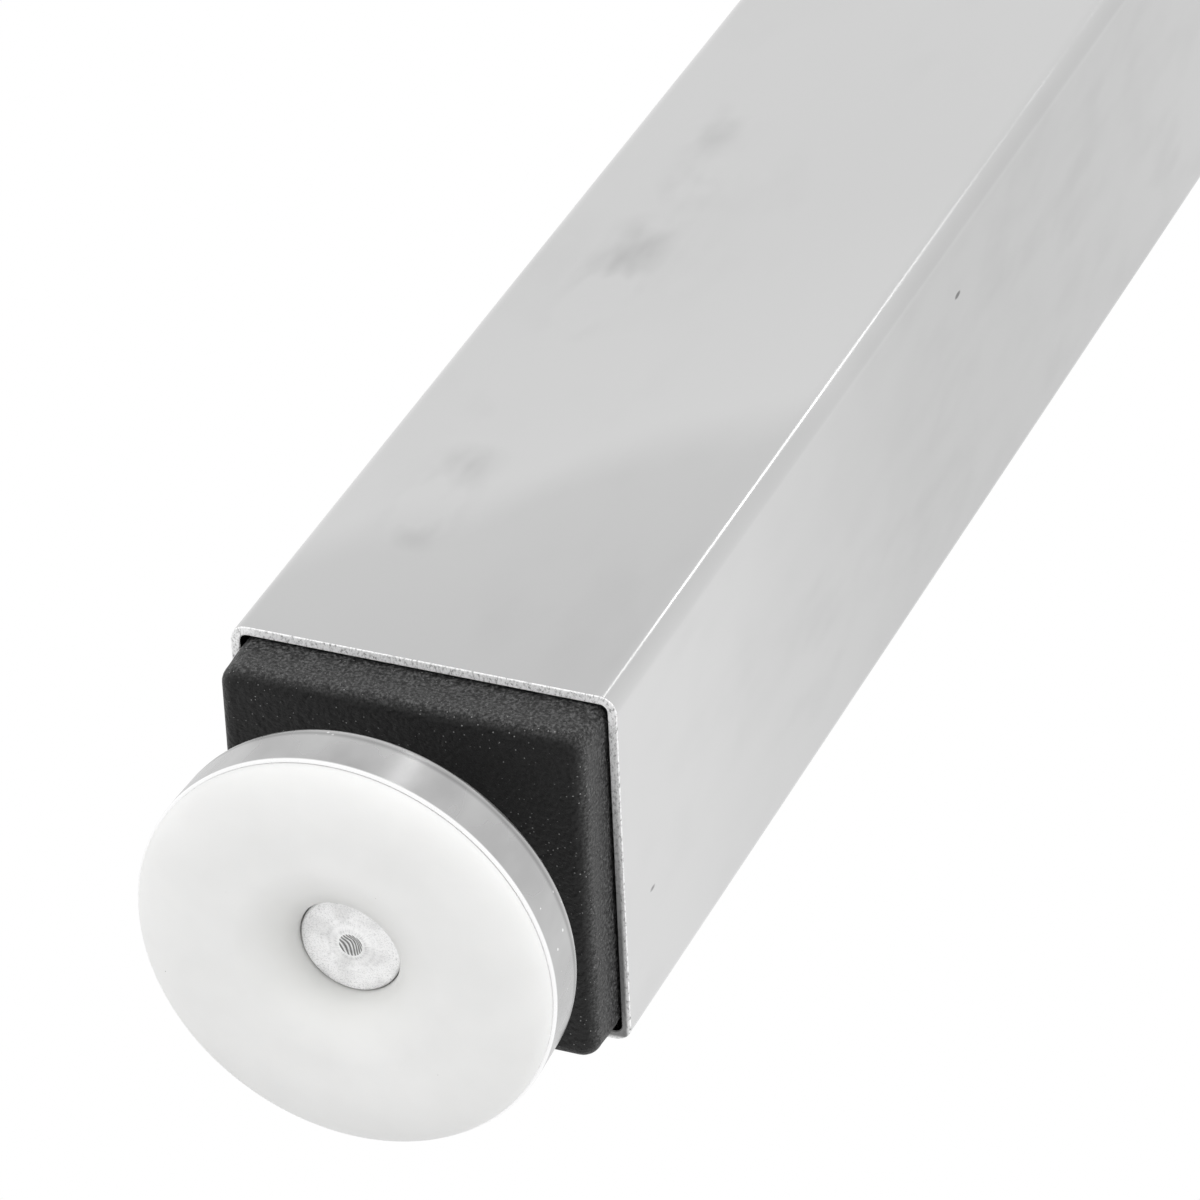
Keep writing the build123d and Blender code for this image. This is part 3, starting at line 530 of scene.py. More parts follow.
def loft(bm, base, rings, closed=False):
    """Skins a row of rings of points. A closed row joins its ends, and an open one is capped."""
    made = [[bm.verts.new(base @ point) for point in ring] for ring in rings]
    pairs = list(zip(made, made[1:])) + ([(made[-1], made[0])] if closed else [])
    for low, high in pairs:
        for i in range(len(low)):
            j = (i + 1) % len(low)
            bm.faces.new((low[i], low[j], high[j], high[i]))
    if not closed:
        bm.faces.new(made[0][::-1])
        bm.faces.new(made[-1])


def turned(bm, base, outline, closed=False, segments=96):
    """Turns an outline of (radius, height) about the base's third axis."""
    angles = directions(segments)
    loft(bm, base, [[polar(radius, a, height) for a in angles] for radius, height in outline], closed)


def square_ring(half, corner, height, side_steps=1, corner_steps=8):
    """Points of a square with rounded corners, its sides divided into equal steps."""
    corners = [(half * x, half * y, corner) for x, y in ((1, -1), (1, 1), (-1, 1), (-1, -1))]
    flat = rounded(corners, steps=corner_steps)
    points = []
    for i, (x, y) in enumerate(flat):
        points.append(Vector((x, y, height)))
        if i % (corner_steps + 1) == corner_steps:
            after = Vector((*flat[(i + 1) % len(flat)], height))
            points += [points[-1].lerp(after, step / side_steps) for step in range(1, side_steps)]
    return points


def hexagon_radius(angle, apothem):
    """Distance from a hexagon's centre to its outline in that direction."""
    sector = FULL_TURN / 6
    return apothem / math.cos((angle + sector / 2) % sector - sector / 2)


# A nut's or bolt head's corners are turned down at 30 degrees, from just inside its flats
FACE_SHARE = 0.96
CORNER_SLOPE = math.tan(math.radians(30))
FLAT_STEPS = 12


def hexagonal(bm, base, across_flats, low, high, bore=0.0, low_turned=True):
    """Hexagon between two heights with its corners turned down, and a bore if given."""
    face = FACE_SHARE * across_flats / 2
    angles = directions(6 * FLAT_STEPS)
    radii = [hexagon_radius(a, across_flats / 2) for a in angles]
    drops = [(radius - face) * CORNER_SLOPE for radius in radii]

    def circle(radius, height):
        return [polar(radius, a, height) for a in angles]

    def outline(heights):
        return [polar(*spot) for spot in zip(radii, angles, heights)]

    if low_turned:
        rings = [circle(face, low), outline([low + drop for drop in drops])]
    else:
        rings = [outline([low] * len(angles))]
    rings += [outline([high - drop for drop in drops]), circle(face, high)]
    if bore:
        rings += [circle(bore, high), circle(bore, low)]
    loft(bm, base, rings, closed=bool(bore))


def as_mesh(bm, name):
    """A mesh of what was modelled, which is then let go."""
    mesh = bpy.data.meshes.new(name)
    bm.to_mesh(mesh)
    bm.free()
    return mesh


def baked(blank, name):
    """The plain mesh that an object's modifiers make; the object is then removed."""
    graph = bpy.context.evaluated_depsgraph_get()
    mesh = bpy.data.meshes.new_from_object(blank.evaluated_get(graph))
    mesh.name = name
    bpy.data.objects.remove(blank)
    return mesh


def placed(mesh, name, body, materials, nodes=(), crease=CREASE):
    """Gives a finished mesh its shading and materials, puts it on its body, and hides the CAD nodes it
    replaces.
    """
    mesh.shade_smooth()
    mesh.set_sharp_from_angle(angle=math.radians(crease))
    for material in materials if isinstance(materials, tuple) else (materials,):
        mesh.materials.append(material)
    blank = linked(name + "_blank", mesh)
    # Large flat faces keep their own normals beside small rounded ones
    blank.modifiers.new("flats", "WEIGHTED_NORMAL").keep_sharp = True
    made = linked(name, baked(blank, name))
    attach(made, body)
    if nodes:
        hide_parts(*nodes)


def piece(bm, name, body, materials, nodes=(), crease=CREASE):
    """Closes what was modelled, turns its faces outwards and places it."""
    bmesh.ops.remove_doubles(bm, verts=bm.verts, dist=WELD_DISTANCE)
    bmesh.ops.recalc_face_normals(bm, faces=bm.faces)
    placed(as_mesh(bm, name), name, body, materials, nodes, crease)


def softened(node, name, body, material, edge_mm):
    """A CAD node's form with its loose triangles merged and its sharp edges broken by a small bevel."""
    bm = bmesh.new()
    bm.from_mesh(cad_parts[node].data)
    bmesh.ops.remove_doubles(bm, verts=bm.verts, dist=WELD_DISTANCE)
    bmesh.ops.dissolve_limit(bm, angle_limit=math.radians(FLAT_ANGLE), verts=bm.verts, edges=bm.edges)
    blank = linked(name + "_blank", as_mesh(bm, name))
    bevel = blank.modifiers.new("edge", "BEVEL")
    bevel.width = edge_mm * MM
    bevel.segments = 1
    bevel.limit_method = "ANGLE"
    bevel.angle_limit = math.radians(EDGE_ANGLE)
    placed(baked(blank, name), name, body, material, (node,))


def new_tree(name, sizes):
    """A Geometry Nodes tree with those named inputs and a material, and its input node's outputs."""
    tree = bpy.data.node_groups.new(name, "GeometryNodeTree")
    for size in sizes:
        tree.interface.new_socket(name=size, in_out="INPUT", socket_type="NodeSocketFloat")
    tree.interface.new_socket(name="Material", in_out="INPUT", socket_type="NodeSocketMaterial")
    tree.interface.new_socket(name="Geometry", in_out="OUTPUT", socket_type="NodeSocketGeometry")
    return tree, add_node(tree, "NodeGroupInput").outputs


def end_tree(tree, geometry, material):
    """Ends a tree as the export needs it: plain faces with their material."""
    real = add_node(tree, "GeometryNodeRealizeInstances", {"Geometry": geometry})
    merged = add_node(tree, "GeometryNodeMergeByDistance", {"Geometry": real, "Distance": WELD_DISTANCE})
    dressed = add_node(tree, "GeometryNodeSetMaterial", {"Geometry": merged, "Material": material})
    add_node(tree, "NodeGroupOutput", {"Geometry": dressed})


def grown(tree, **values):
    """The mesh that a tree makes from those inputs, set by their sockets' identifiers."""
    blank = linked(tree.name, bpy.data.meshes.new(tree.name))
    modifier = blank.modifiers.new(tree.name, "NODES")
    modifier.node_group = tree
    for socket in tree.interface.items_tree:
        if socket.in_out == "INPUT":
            modifier[socket.identifier] = values[socket.name.replace(" ", "_")]
    return baked(blank, tree.name)


THREAD_ROWS = 10
THREAD_SIDES = 36
# As shares of the pitch: the thread's depth, and half of its narrow flat crest and root
THREAD_DEPTH = 0.61
THREAD_FLAT = 0.06


def make_thread_tree():
    """A threaded rod from the origin up: a grid rolled round, whose radius follows the thread's helix."""
    tree, size = new_tree("threaded_rod", ("Radius", "Pitch", "Length", "Chamfer"))
    turns = add_node(tree, "ShaderNodeMath", {0: size["Length"], 1: size["Pitch"]}, operation="DIVIDE")
    rows = add_node(tree, "ShaderNodeMath", {0: turns, 1: THREAD_ROWS}, operation="MULTIPLY")
    grid = add_node(tree, "GeometryNodeMeshGrid", {
        "Size X": FULL_TURN, "Size Y": size["Length"],
        "Vertices X": THREAD_SIDES + 1, "Vertices Y": rows})
    spot = add_node(tree, "ShaderNodeSeparateXYZ", {0: add_node(tree, "GeometryNodeInputPosition")})
    angle = spot.outputs["X"]
    height = add_node(tree, "ShaderNodeMath", {
        0: size["Length"], 1: 0.5, 2: spot.outputs["Y"]}, operation="MULTIPLY_ADD")
    climbed = add_node(tree, "ShaderNodeMath", {0: height, 1: size["Pitch"]}, operation="DIVIDE")
    phase = add_node(tree, "ShaderNodeMath", {
        0: angle, 1: -1 / FULL_TURN, 2: climbed}, operation="MULTIPLY_ADD")
    wave = add_node(tree, "ShaderNodeMath", {0: phase, 1: 0.5}, operation="PINGPONG")
    flank = add_node(tree, "ShaderNodeMapRange", {
        "Value": wave, "From Min": THREAD_FLAT, "From Max": 0.5 - THREAD_FLAT})
    depth = add_node(tree, "ShaderNodeMath", {0: size["Pitch"], 1: THREAD_DEPTH}, operation="MULTIPLY")
    cut = add_node(tree, "ShaderNodeMath", {0: flank, 1: depth}, operation="MULTIPLY")
    thread = add_node(tree, "ShaderNodeMath", {0: size["Radius"], 1: cut}, operation="SUBTRACT")
    left = add_node(tree, "ShaderNodeMath", {0: size["Length"], 1: height}, operation="SUBTRACT")
    from_end = add_node(tree, "ShaderNodeMath", {0: height, 1: left}, operation="MINIMUM")
    lead = add_node(tree, "ShaderNodeMath", {0: size["Radius"], 1: size["Chamfer"]}, operation="SUBTRACT")
    lead = add_node(tree, "ShaderNodeMath", {0: lead, 1: from_end}, operation="ADD")
    pointed = add_node(tree, "ShaderNodeMath", {0: thread, 1: lead}, operation="MINIMUM")
    inside = add_node(tree, "ShaderNodeMath", {0: from_end, 1: WELD_DISTANCE}, operation="GREATER_THAN")
    radius = add_node(tree, "ShaderNodeMath", {0: pointed, 1: inside}, operation="MULTIPLY")
    across = add_node(tree, "ShaderNodeMath", {0: angle}, operation="COSINE")
    across = add_node(tree, "ShaderNodeMath", {0: across, 1: radius}, operation="MULTIPLY")
    along = add_node(tree, "ShaderNodeMath", {0: angle}, operation="SINE")
    along = add_node(tree, "ShaderNodeMath", {0: along, 1: radius}, operation="MULTIPLY")
    rolled = add_node(tree, "ShaderNodeCombineXYZ", {"X": across, "Y": along, "Z": height})
    wound = add_node(tree, "GeometryNodeSetPosition", {"Geometry": grid, "Position": rolled})
    end_tree(tree, wound, size["Material"])
    return tree


thread_tree = make_thread_tree()


def threaded(bm, base, radius, pitch, length, chamfer, material):
    """Adds a threaded rod that stands on base."""
    mesh = grown(thread_tree, Radius=radius * MM, Pitch=pitch * MM, Length=length * MM,
                 Chamfer=chamfer * MM, Material=material)
    mesh.transform(base @ Matrix.Scale(1 / MM, 4))
    bm.from_mesh(mesh)


UPRIGHT = standing((0, 0, 0), (0, 0, 1))

# Foot end. Sizes that a node's box doesn't give are those of the part's source

TUBE_CORNER = 2.2
INNER_CORNER = TUBE_CORNER - TUBE_WALL
RIM_BREAK = 0.12


def make_tube():
    """Square tube whose sawn ends are their own surface."""
    half, inner = tube_high.x, tube_high.x - TUBE_WALL
    low, high = tube_low.z, tube_high.z
    levels = [
        (half - RIM_BREAK, TUBE_CORNER - RIM_BREAK, low), (half, TUBE_CORNER, low + RIM_BREAK),
        (half, TUBE_CORNER, high - RIM_BREAK), (half - RIM_BREAK, TUBE_CORNER - RIM_BREAK, high),
        (inner + RIM_BREAK, INNER_CORNER + RIM_BREAK, high), (inner, INNER_CORNER, high - RIM_BREAK),
        (inner, INNER_CORNER, low + RIM_BREAK), (inner + RIM_BREAK, INNER_CORNER + RIM_BREAK, low)]
    bm = bmesh.new()
    loft(bm, UPRIGHT, [square_ring(*level, corner_steps=10) for level in levels], closed=True)
    for face in bm.faces:
        middle = face.calc_center_median().z / MM
        face.material_index = int(min(middle - low, high - middle) < RIM_BREAK)
    piece(bm, "square_tube", "leg", (tube_chrome, rim_steel), ("leg_tube",))


make_tube()

PLUG_HALF = 23.55
PLUG_CORNER = 2.6
PLUG_EDGE = 2.0
NECK_HALF = 23.45
NECK_CORNER = 1.85
NECKING_START = 2.4
NECKING_RUN = 3.2
NECKING_STEPS = 8
PLUG_SEAT = 3.0
SLEEVE_HALF = 22.2
FINS = 3
FIN_HALF = 23.7
FIN_THICK = 1.2
FIN_PITCH = 8.3
FIN_BREAK = 0.3
CAVITY_HALF = 19.8
SHARP_CORNER = 0.4
PLUG_FLOOR = 4.0
BOSS_RADIUS = 12.5
NUT_POCKET = 8.6
STUD_HOLE = 5.4
RIB_HALF = 1.0
RIB_HEIGHT = 12.0
RIB_ROOT = 0.5


def make_plug():
    """Plug: rounded block that necks in to the tube, finned sleeve, and boss with nut pocket and ribs."""
    face, sleeve = plug_low.z, tube_low.z + PLUG_SEAT
    floor = face + PLUG_FLOOR
    flat, corner = PLUG_HALF - PLUG_EDGE, PLUG_CORNER - PLUG_EDGE
    levels = [(flat + x, max(corner + x, SHARP_CORNER), face + PLUG_EDGE + z)
              for x, z in quarter((0, 0), (PLUG_EDGE, PLUG_EDGE), -90, 8)]
    for step in range(1, NECKING_STEPS + 1):
        share = step / NECKING_STEPS
        ease = share * share * (3 - 2 * share)
        levels.append((PLUG_HALF + (NECK_HALF - PLUG_HALF) * ease,
                       PLUG_CORNER + (NECK_CORNER - PLUG_CORNER) * ease,
                       face + NECKING_START + NECKING_RUN * share))
    levels += [(NECK_HALF, NECK_CORNER, sleeve), (SLEEVE_HALF, INNER_CORNER, sleeve)]
    for fin in range(1, FINS + 1):
        top = sleeve + fin * FIN_PITCH
        levels += [(half, INNER_CORNER, top - drop) for half, drop in (
            (SLEEVE_HALF, FIN_THICK), (FIN_HALF, FIN_THICK), (FIN_HALF, FIN_BREAK),
            (FIN_HALF - FIN_BREAK, 0), (SLEEVE_HALF, 0))]
    levels += [(SLEEVE_HALF, INNER_CORNER, plug_high.z), (CAVITY_HALF, SHARP_CORNER, plug_high.z),
               (CAVITY_HALF, SHARP_CORNER, floor)]
    rings = [square_ring(*level, side_steps=8) for level in levels]
    # The round and six-sided rings go on with the square ones' directions
    angles = [math.atan2(point.y, point.x) for point in rings[0]]

    def circle(radius, height):
        return [polar(radius, a, height) for a in angles]

    def pocket(height):
        return [polar(hexagon_radius(a, NUT_POCKET), a, height) for a in angles]

    rings += [circle(BOSS_RADIUS, floor), circle(BOSS_RADIUS, nut_high.z), pocket(nut_high.z),
              pocket(nut_low.z), circle(STUD_HOLE, nut_low.z), circle(STUD_HOLE, face)]
    bm = bmesh.new()
    loft(bm, UPRIGHT, rings, closed=True)
    rib_in, rib_out = BOSS_RADIUS - RIB_ROOT, CAVITY_HALF + RIB_ROOT
    rib = [(rib_in, -RIB_HALF), (rib_out, -RIB_HALF), (rib_out, RIB_HALF), (rib_in, RIB_HALF)]
    for turn in range(4):
        loft(bm, UPRIGHT @ Matrix.Rotation(turn * RIGHT_ANGLE, 4, "Z"),
             [[Vector((x, y, floor + up)) for x, y in rib] for up in (-RIB_ROOT, RIB_HEIGHT)])
    piece(bm, "end_plug", "leg", plug_black, ("foot_plug",))


make_plug()

CUP_WALL = 1.0
CUP_SPREAD = 0.3
CUP_BEND = 1.6
CUP_INNER_BEND = 0.6
CUP_RIM_ROUND = 0.42
CUP_HOLE_ROUND = 0.2
NECK_HOLE = 4.05


def make_cup():
    """Pressed cup, its rim rolled over a little."""
    back, rim, radius = cup_high.z, cup_low.z, cup_high.x
    inner = radius - CUP_WALL
    outline = rounded([
        (NECK_HOLE, back, CUP_HOLE_ROUND), (radius - CUP_SPREAD, back, CUP_BEND),
        (radius, rim, CUP_RIM_ROUND), (inner, rim, CUP_RIM_ROUND),
        (inner - CUP_SPREAD, back - CUP_WALL, CUP_INNER_BEND),
        (NECK_HOLE, back - CUP_WALL, CUP_HOLE_ROUND)], steps=8)
    bm = bmesh.new()
    turned(bm, UPRIGHT, outline, closed=True, segments=192)
    piece(bm, "pressed_cup", "glide", cup_steel, ("glide_cup",))


make_cup()

PAD_CROWN = 2.9
PAD_PLAY = 0.1
PAD_LIP = 0.25
PAD_LIP_RISE = 0.35
PAD_FLAT_OUTER = 18.0
PAD_FLAT_INNER = 14.0
PAD_FLOOR = 2.3
FUNNEL_END = 0.1
MOUTH_RADIUS = 6.62


def make_pad():
    """Nylon pad: a dome round a funnel that runs down to the stud's head."""
    top, floor, outer = pad_high.z, pad_low.z, pad_high.x
    shoulder = floor + PAD_CROWN
    inside = cup_high.x - CUP_WALL - PAD_PLAY
    outline = [(NECK_HOLE, top), (inside - CUP_SPREAD, top), (inside, shoulder + PAD_LIP_RISE),
               (outer - PAD_LIP, shoulder)]
    outline += quarter((PAD_FLAT_OUTER, shoulder), (outer - PAD_FLAT_OUTER, -PAD_CROWN), 0, 24)
    # The funnel leaves the crown flat, and steepens to a wall that the stud's head stands in
    mouth = stud_low.z + FUNNEL_END
    funnel = quarter((PAD_FLAT_INNER, mouth), (MOUTH_RADIUS - PAD_FLAT_INNER, floor - mouth), 0, 28)
    outline += funnel[::-1]
    outline += [(MOUTH_RADIUS, top - PAD_FLOOR), (NECK_HOLE, top - PAD_FLOOR)]
    bm = bmesh.new()
    turned(bm, UPRIGHT, outline, closed=True, segments=192)
    piece(bm, "domed_pad", "glide", pad_nylon, ("glide_pad",), crease=50)


make_pad()

# The spun face from its middle outwards, as radius and depth: centre mark, raised ring, shallow dish
SPUN_FACE = (
    (0, 0.75), (0.35, 0.7), (1.25, 0.12), (1.55, 0), (2.0, 0.02), (2.35, 0.16), (3.2, 0.2), (4.6, 0.1))
HEAD_RADIUS = 6.5
HEAD_EDGE = 0.35
HEAD_EDGE_DEPTH = 0.4
HEAD_HEIGHT = 2.9
NECK_RADIUS = 4.0
NECK_OVERLAP = 1.0
COLLAR_FLATS = 14.0
COLLAR_HEIGHT = 5.0
M10_RADIUS = 5.0
M10_PITCH = 1.5
M8_RADIUS = 4.0
M8_PITCH = 1.25
THREAD_CHAMFER = 1.0
SEAT_GAP = 0.1


def make_stud():
    """Glide stud: spun head with a raised ring round its centre mark, neck, hexagon collar and thread."""
    face = stud_low.z
    collar = cup_high.z + SEAT_GAP
    outline = [(radius, face + depth) for radius, depth in SPUN_FACE]
    outline += [(HEAD_RADIUS - HEAD_EDGE + x, face + HEAD_EDGE_DEPTH + z)
                for x, z in quarter((0, 0), (HEAD_EDGE, HEAD_EDGE), -90, 6)]
    outline += [(HEAD_RADIUS, face + HEAD_HEIGHT), (NECK_RADIUS, face + HEAD_HEIGHT),
                (NECK_RADIUS, collar + NECK_OVERLAP), (0, collar + NECK_OVERLAP)]
    bm = bmesh.new()
    turned(bm, UPRIGHT, outline, segments=128)
    piece(bm, "spun_stud_head", "stud", stud_steel)
    bm = bmesh.new()
    hexagonal(bm, UPRIGHT, COLLAR_FLATS, collar, collar + COLLAR_HEIGHT)
    low = collar + COLLAR_HEIGHT - THREAD_CHAMFER
    threaded(bm, standing((0, 0, low), (0, 0, 1)), M10_RADIUS, M10_PITCH, stud_high.z - low,
             THREAD_CHAMFER, stud_zinc)
    piece(bm, "threaded_stud", "stud", stud_zinc, ("glide_stud",))


make_stud()

FOOT_NUT_FLATS = 17.0
M10_BORE = 5.05


def make_foot_nut():
    """Hexagon nut trapped in the plug."""
    bm = bmesh.new()
    hexagonal(bm, UPRIGHT, FOOT_NUT_FLATS, nut_low.z, nut_high.z, bore=M10_BORE)
    piece(bm, "trapped_nut", "leg", bolt_zinc, ("foot_nut",))


make_foot_nut()

# Hinge end. Plate, yoke and head keep the source's form, with edges as presses and moulds leave them

softened("mounting_plate", "screw_plate", "bracket", sheet_zinc, 0.3)
softened("hinge_yoke", "slotted_yoke", "bracket", sheet_zinc, 0.25)
softened("hinge_head", "swinging_head", "leg", head_black, 0.35)

BEAD_LENGTH = 38.0
BEAD_LEG = 2.4
BEAD_STEP = 0.15
BEAD_END = 1.6
BEAD_START_SHARE = 0.2
RIPPLE_PITCH = 1.5
RIPPLE_BOW = 0.9
RIPPLE_SHARE = 0.1
BEAD_FACETS = 12


def make_weld_bead(node, way):
    """Fillet weld along X under the plate, its surface stepped in crescents as the arc moved on."""
    low, high = mm_box(node)
    root = low.y if way > 0 else high.y
    rings = []
    count = round(BEAD_LENGTH / BEAD_STEP)
    for i in range(count + 1):
        x = -BEAD_LENGTH / 2 + BEAD_STEP * i
        from_end = min(i, count - i) * BEAD_STEP
        swell = math.sqrt(1 - (1 - min(from_end / BEAD_END, 1)) ** 2)
        fade = swell * (1 - BEAD_START_SHARE) + BEAD_START_SHARE
        ring = [Vector((x, root, high.z))]
        for step in range(BEAD_FACETS + 1):
            turn = RIGHT_ANGLE * step / BEAD_FACETS
            crescent = ((x + RIPPLE_BOW * math.sin(2 * turn)) / RIPPLE_PITCH) % 1
            ripple = 1 - RIPPLE_SHARE + RIPPLE_SHARE * math.sin(math.pi * crescent ** 0.6)
            reach = BEAD_LEG * fade * ripple
            ring.append(Vector((x, root + way * reach * math.cos(turn), high.z - reach * math.sin(turn))))
        rings.append(ring)
    bm = bmesh.new()
    loft(bm, UPRIGHT, rings)
    name = node.replace("weld_bead", "rippled_bead")
    piece(bm, name, "bracket", bead_metal, (node,), crease=60)


make_weld_bead("weld_bead_front", 1)
make_weld_bead("weld_bead_back", -1)

bolt_low, bolt_high = mm_box("hinge_bolt")
washer_low, washer_high = mm_box("bolt_washer_right")
ring_low, ring_high = mm_box("lock_nut_ring")
lock_low, lock_high = mm_box("lock_nut")
HINGE_Z = (bolt_low.z + bolt_high.z) / 2
BOLT_FLATS = 17.0
BOLT_THREAD = 24.0
BOLT_FACE = 7.9
BOLT_FACE_HEIGHT = 0.4
DISH_RADIUS = 6.0
DISH_FLOOR = 5.2
DISH_DEPTH = 0.7
THREAD_OVERLAP = 1.0


def along_x(x, z, way=1):
    """The base of what is turned about a line along X."""
    return standing((x, 0, z), (way, 0, 0), (0, 1, 0))


def make_hinge_bolt():
    """Hexagon bolt: dished head on a washer face, plain shank, rolled thread at the nut."""
    seat = washer_high.x
    base = along_x(seat, HINGE_Z)
    height = bolt_high.x - seat
    shank_end = bolt_low.x - seat + BOLT_THREAD
    bm = bmesh.new()
    hexagonal(bm, base, BOLT_FLATS, BOLT_FACE_HEIGHT, height, bore=DISH_RADIUS, low_turned=False)
    turned(bm, base, rounded([
        (0, height - DISH_DEPTH, 0), (DISH_FLOOR, height - DISH_DEPTH, 0.5), (DISH_RADIUS, height, 0),
        (DISH_RADIUS, BOLT_FACE_HEIGHT, 0), (BOLT_FACE, BOLT_FACE_HEIGHT, 0), (BOLT_FACE, 0, 0),
        (M10_RADIUS, 0, 0), (M10_RADIUS, shank_end, 0), (0, shank_end, 0)], closed=False))
    threaded(bm, along_x(bolt_low.x, HINGE_Z), M10_RADIUS, M10_PITCH, BOLT_THREAD + THREAD_OVERLAP,
             THREAD_CHAMFER, bolt_zinc)
    piece(bm, "dished_hinge_bolt", "bracket", bolt_zinc, ("hinge_bolt",))


make_hinge_bolt()

WASHER_BORE = 5.1
WASHER_PUNCHED = 0.5
WASHER_BURR = 0.15
WASHER_BORE_ROUND = 0.3


def make_washer(node, name, body, bore, way):
    """Stamped washer: rounded over on the punch's side, with a small burr edge on the other."""
    low, high = mm_box(node)
    radius, thick = (high.y - low.y) / 2, high.x - low.x
    base = along_x(low.x if way > 0 else high.x, (low.z + high.z) / 2, way)
    bm = bmesh.new()
    turned(bm, base, rounded([
        (bore, 0, WASHER_BURR), (bore, thick, WASHER_BORE_ROUND), (radius, thick, WASHER_PUNCHED),
        (radius, 0, WASHER_BURR)], steps=4), closed=True)
    piece(bm, name, body, bolt_zinc, (node,))


make_washer("bolt_washer_right", "stamped_washer_right", "bracket", WASHER_BORE, 1)
make_washer("bolt_washer_left", "stamped_washer_left", "bracket", WASHER_BORE, -1)
make_washer("clamp_washer", "wide_clamp_washer", "washer", NECK_HOLE, 1)

LOCK_HEXAGON = 7.0
CRIMP_WALL = 1.0
CRIMP_REACH = 0.4
CRIMP_THICK = 0.55
CRIMP_ROOT = 0.2
CRIMP_ROLL = 0.8


def make_lock_nut():
    """Self-locking nut: hexagon, collar crimped over its nylon ring."""
    base = along_x(lock_high.x, HINGE_Z, -1)
    height = lock_high.x - lock_low.x
    inner = ring_high.y
    outer = inner + CRIMP_WALL
    bm = bmesh.new()
    hexagonal(bm, base, BOLT_FLATS, 0, LOCK_HEXAGON, bore=M10_BORE)
    turned(bm, base, rounded([
        (inner, LOCK_HEXAGON - CRIMP_ROOT, 0), (outer, LOCK_HEXAGON - CRIMP_ROOT, 0),
        (outer, height, CRIMP_ROLL), (inner - CRIMP_REACH, height, 0.2),
        (inner, height - CRIMP_THICK, 0)],
                             steps=5), closed=True)
    piece(bm, "crimped_lock_nut", "bracket", bolt_zinc, ("lock_nut",))
    bm = bmesh.new()
    ring_top = lock_high.x - ring_low.x
    turned(bm, base, rounded([
        (M10_BORE, LOCK_HEXAGON, 0), (M10_BORE, ring_top, 0.5), (inner, ring_top, 0.2),
        (inner, LOCK_HEXAGON, 0)], steps=4), closed=True)
    piece(bm, "nylon_lock_ring", "bracket", ring_nylon, ("lock_nut_ring",))


make_lock_nut()

FLANGE = 1.4
FLANGE_ROUND = 0.3
FLANGE_EDGE = 0.15
BUSH_OUTER = 7.05
BUSH_ROOT = 0.1
BUSH_LEAD = 0.5
SPACER_BORE = 5.71


def make_bush(side_name, way):
    """Flanged nylon bush in one side of the head."""
    node = "hinge_bush_" + side_name
    low, high = mm_box(node)
    radius = (high.y - low.y) / 2
    depth = FLANGE - (high.x - low.x)
    bm = bmesh.new()
    outline = rounded([
        (M10_BORE, FLANGE, FLANGE_ROUND), (radius, FLANGE, FLANGE_ROUND), (radius, 0, FLANGE_EDGE),
        (BUSH_OUTER, 0, BUSH_ROOT), (BUSH_OUTER, depth, BUSH_LEAD), (M10_BORE, depth, FLANGE_ROUND)],
                      steps=4)
    turned(bm, along_x(way * tube_high.x, HINGE_Z, way), outline, closed=True)
    piece(bm, "flanged_bush_" + side_name, "leg", bush_nylon, (node,))


def make_spacer(side_name, way):
    """Nylon ring between the head and one ear, round the coach bolt's neck."""
    node = "clamp_spacer_" + side_name
    low, high = mm_box(node)
    radius = (high.y - low.y) / 2
    bm = bmesh.new()
    outline = rounded([
        (SPACER_BORE, 0, FLANGE_EDGE), (SPACER_BORE, FLANGE, FLANGE_ROUND),
        (radius, FLANGE, FLANGE_ROUND), (radius, 0, FLANGE_EDGE)], steps=4)
    turned(bm, along_x(way * tube_high.x, (low.z + high.z) / 2, way), outline, closed=True)
    piece(bm, "ring_spacer_" + side_name, "leg", bush_nylon, (node,))


for side_name, way in (("right", 1), ("left", -1)):
    make_bush(side_name, way)
    make_spacer(side_name, way)

DOME_RADIUS = 9.5
DOME_EDGE = 0.3
DOME_STEPS = 16
COACH_NECK_HALF = 4.0
COACH_NECK_LENGTH = 3.25
COACH_NECK_CORNER = 0.4
COACH_NECK_LEAD = 0.4
COACH_NECK_SUNK = 0.1
COACH_NECK_TIP = 0.3
COACH_THREAD = 22.0
COACH_CHAMFER = 0.8


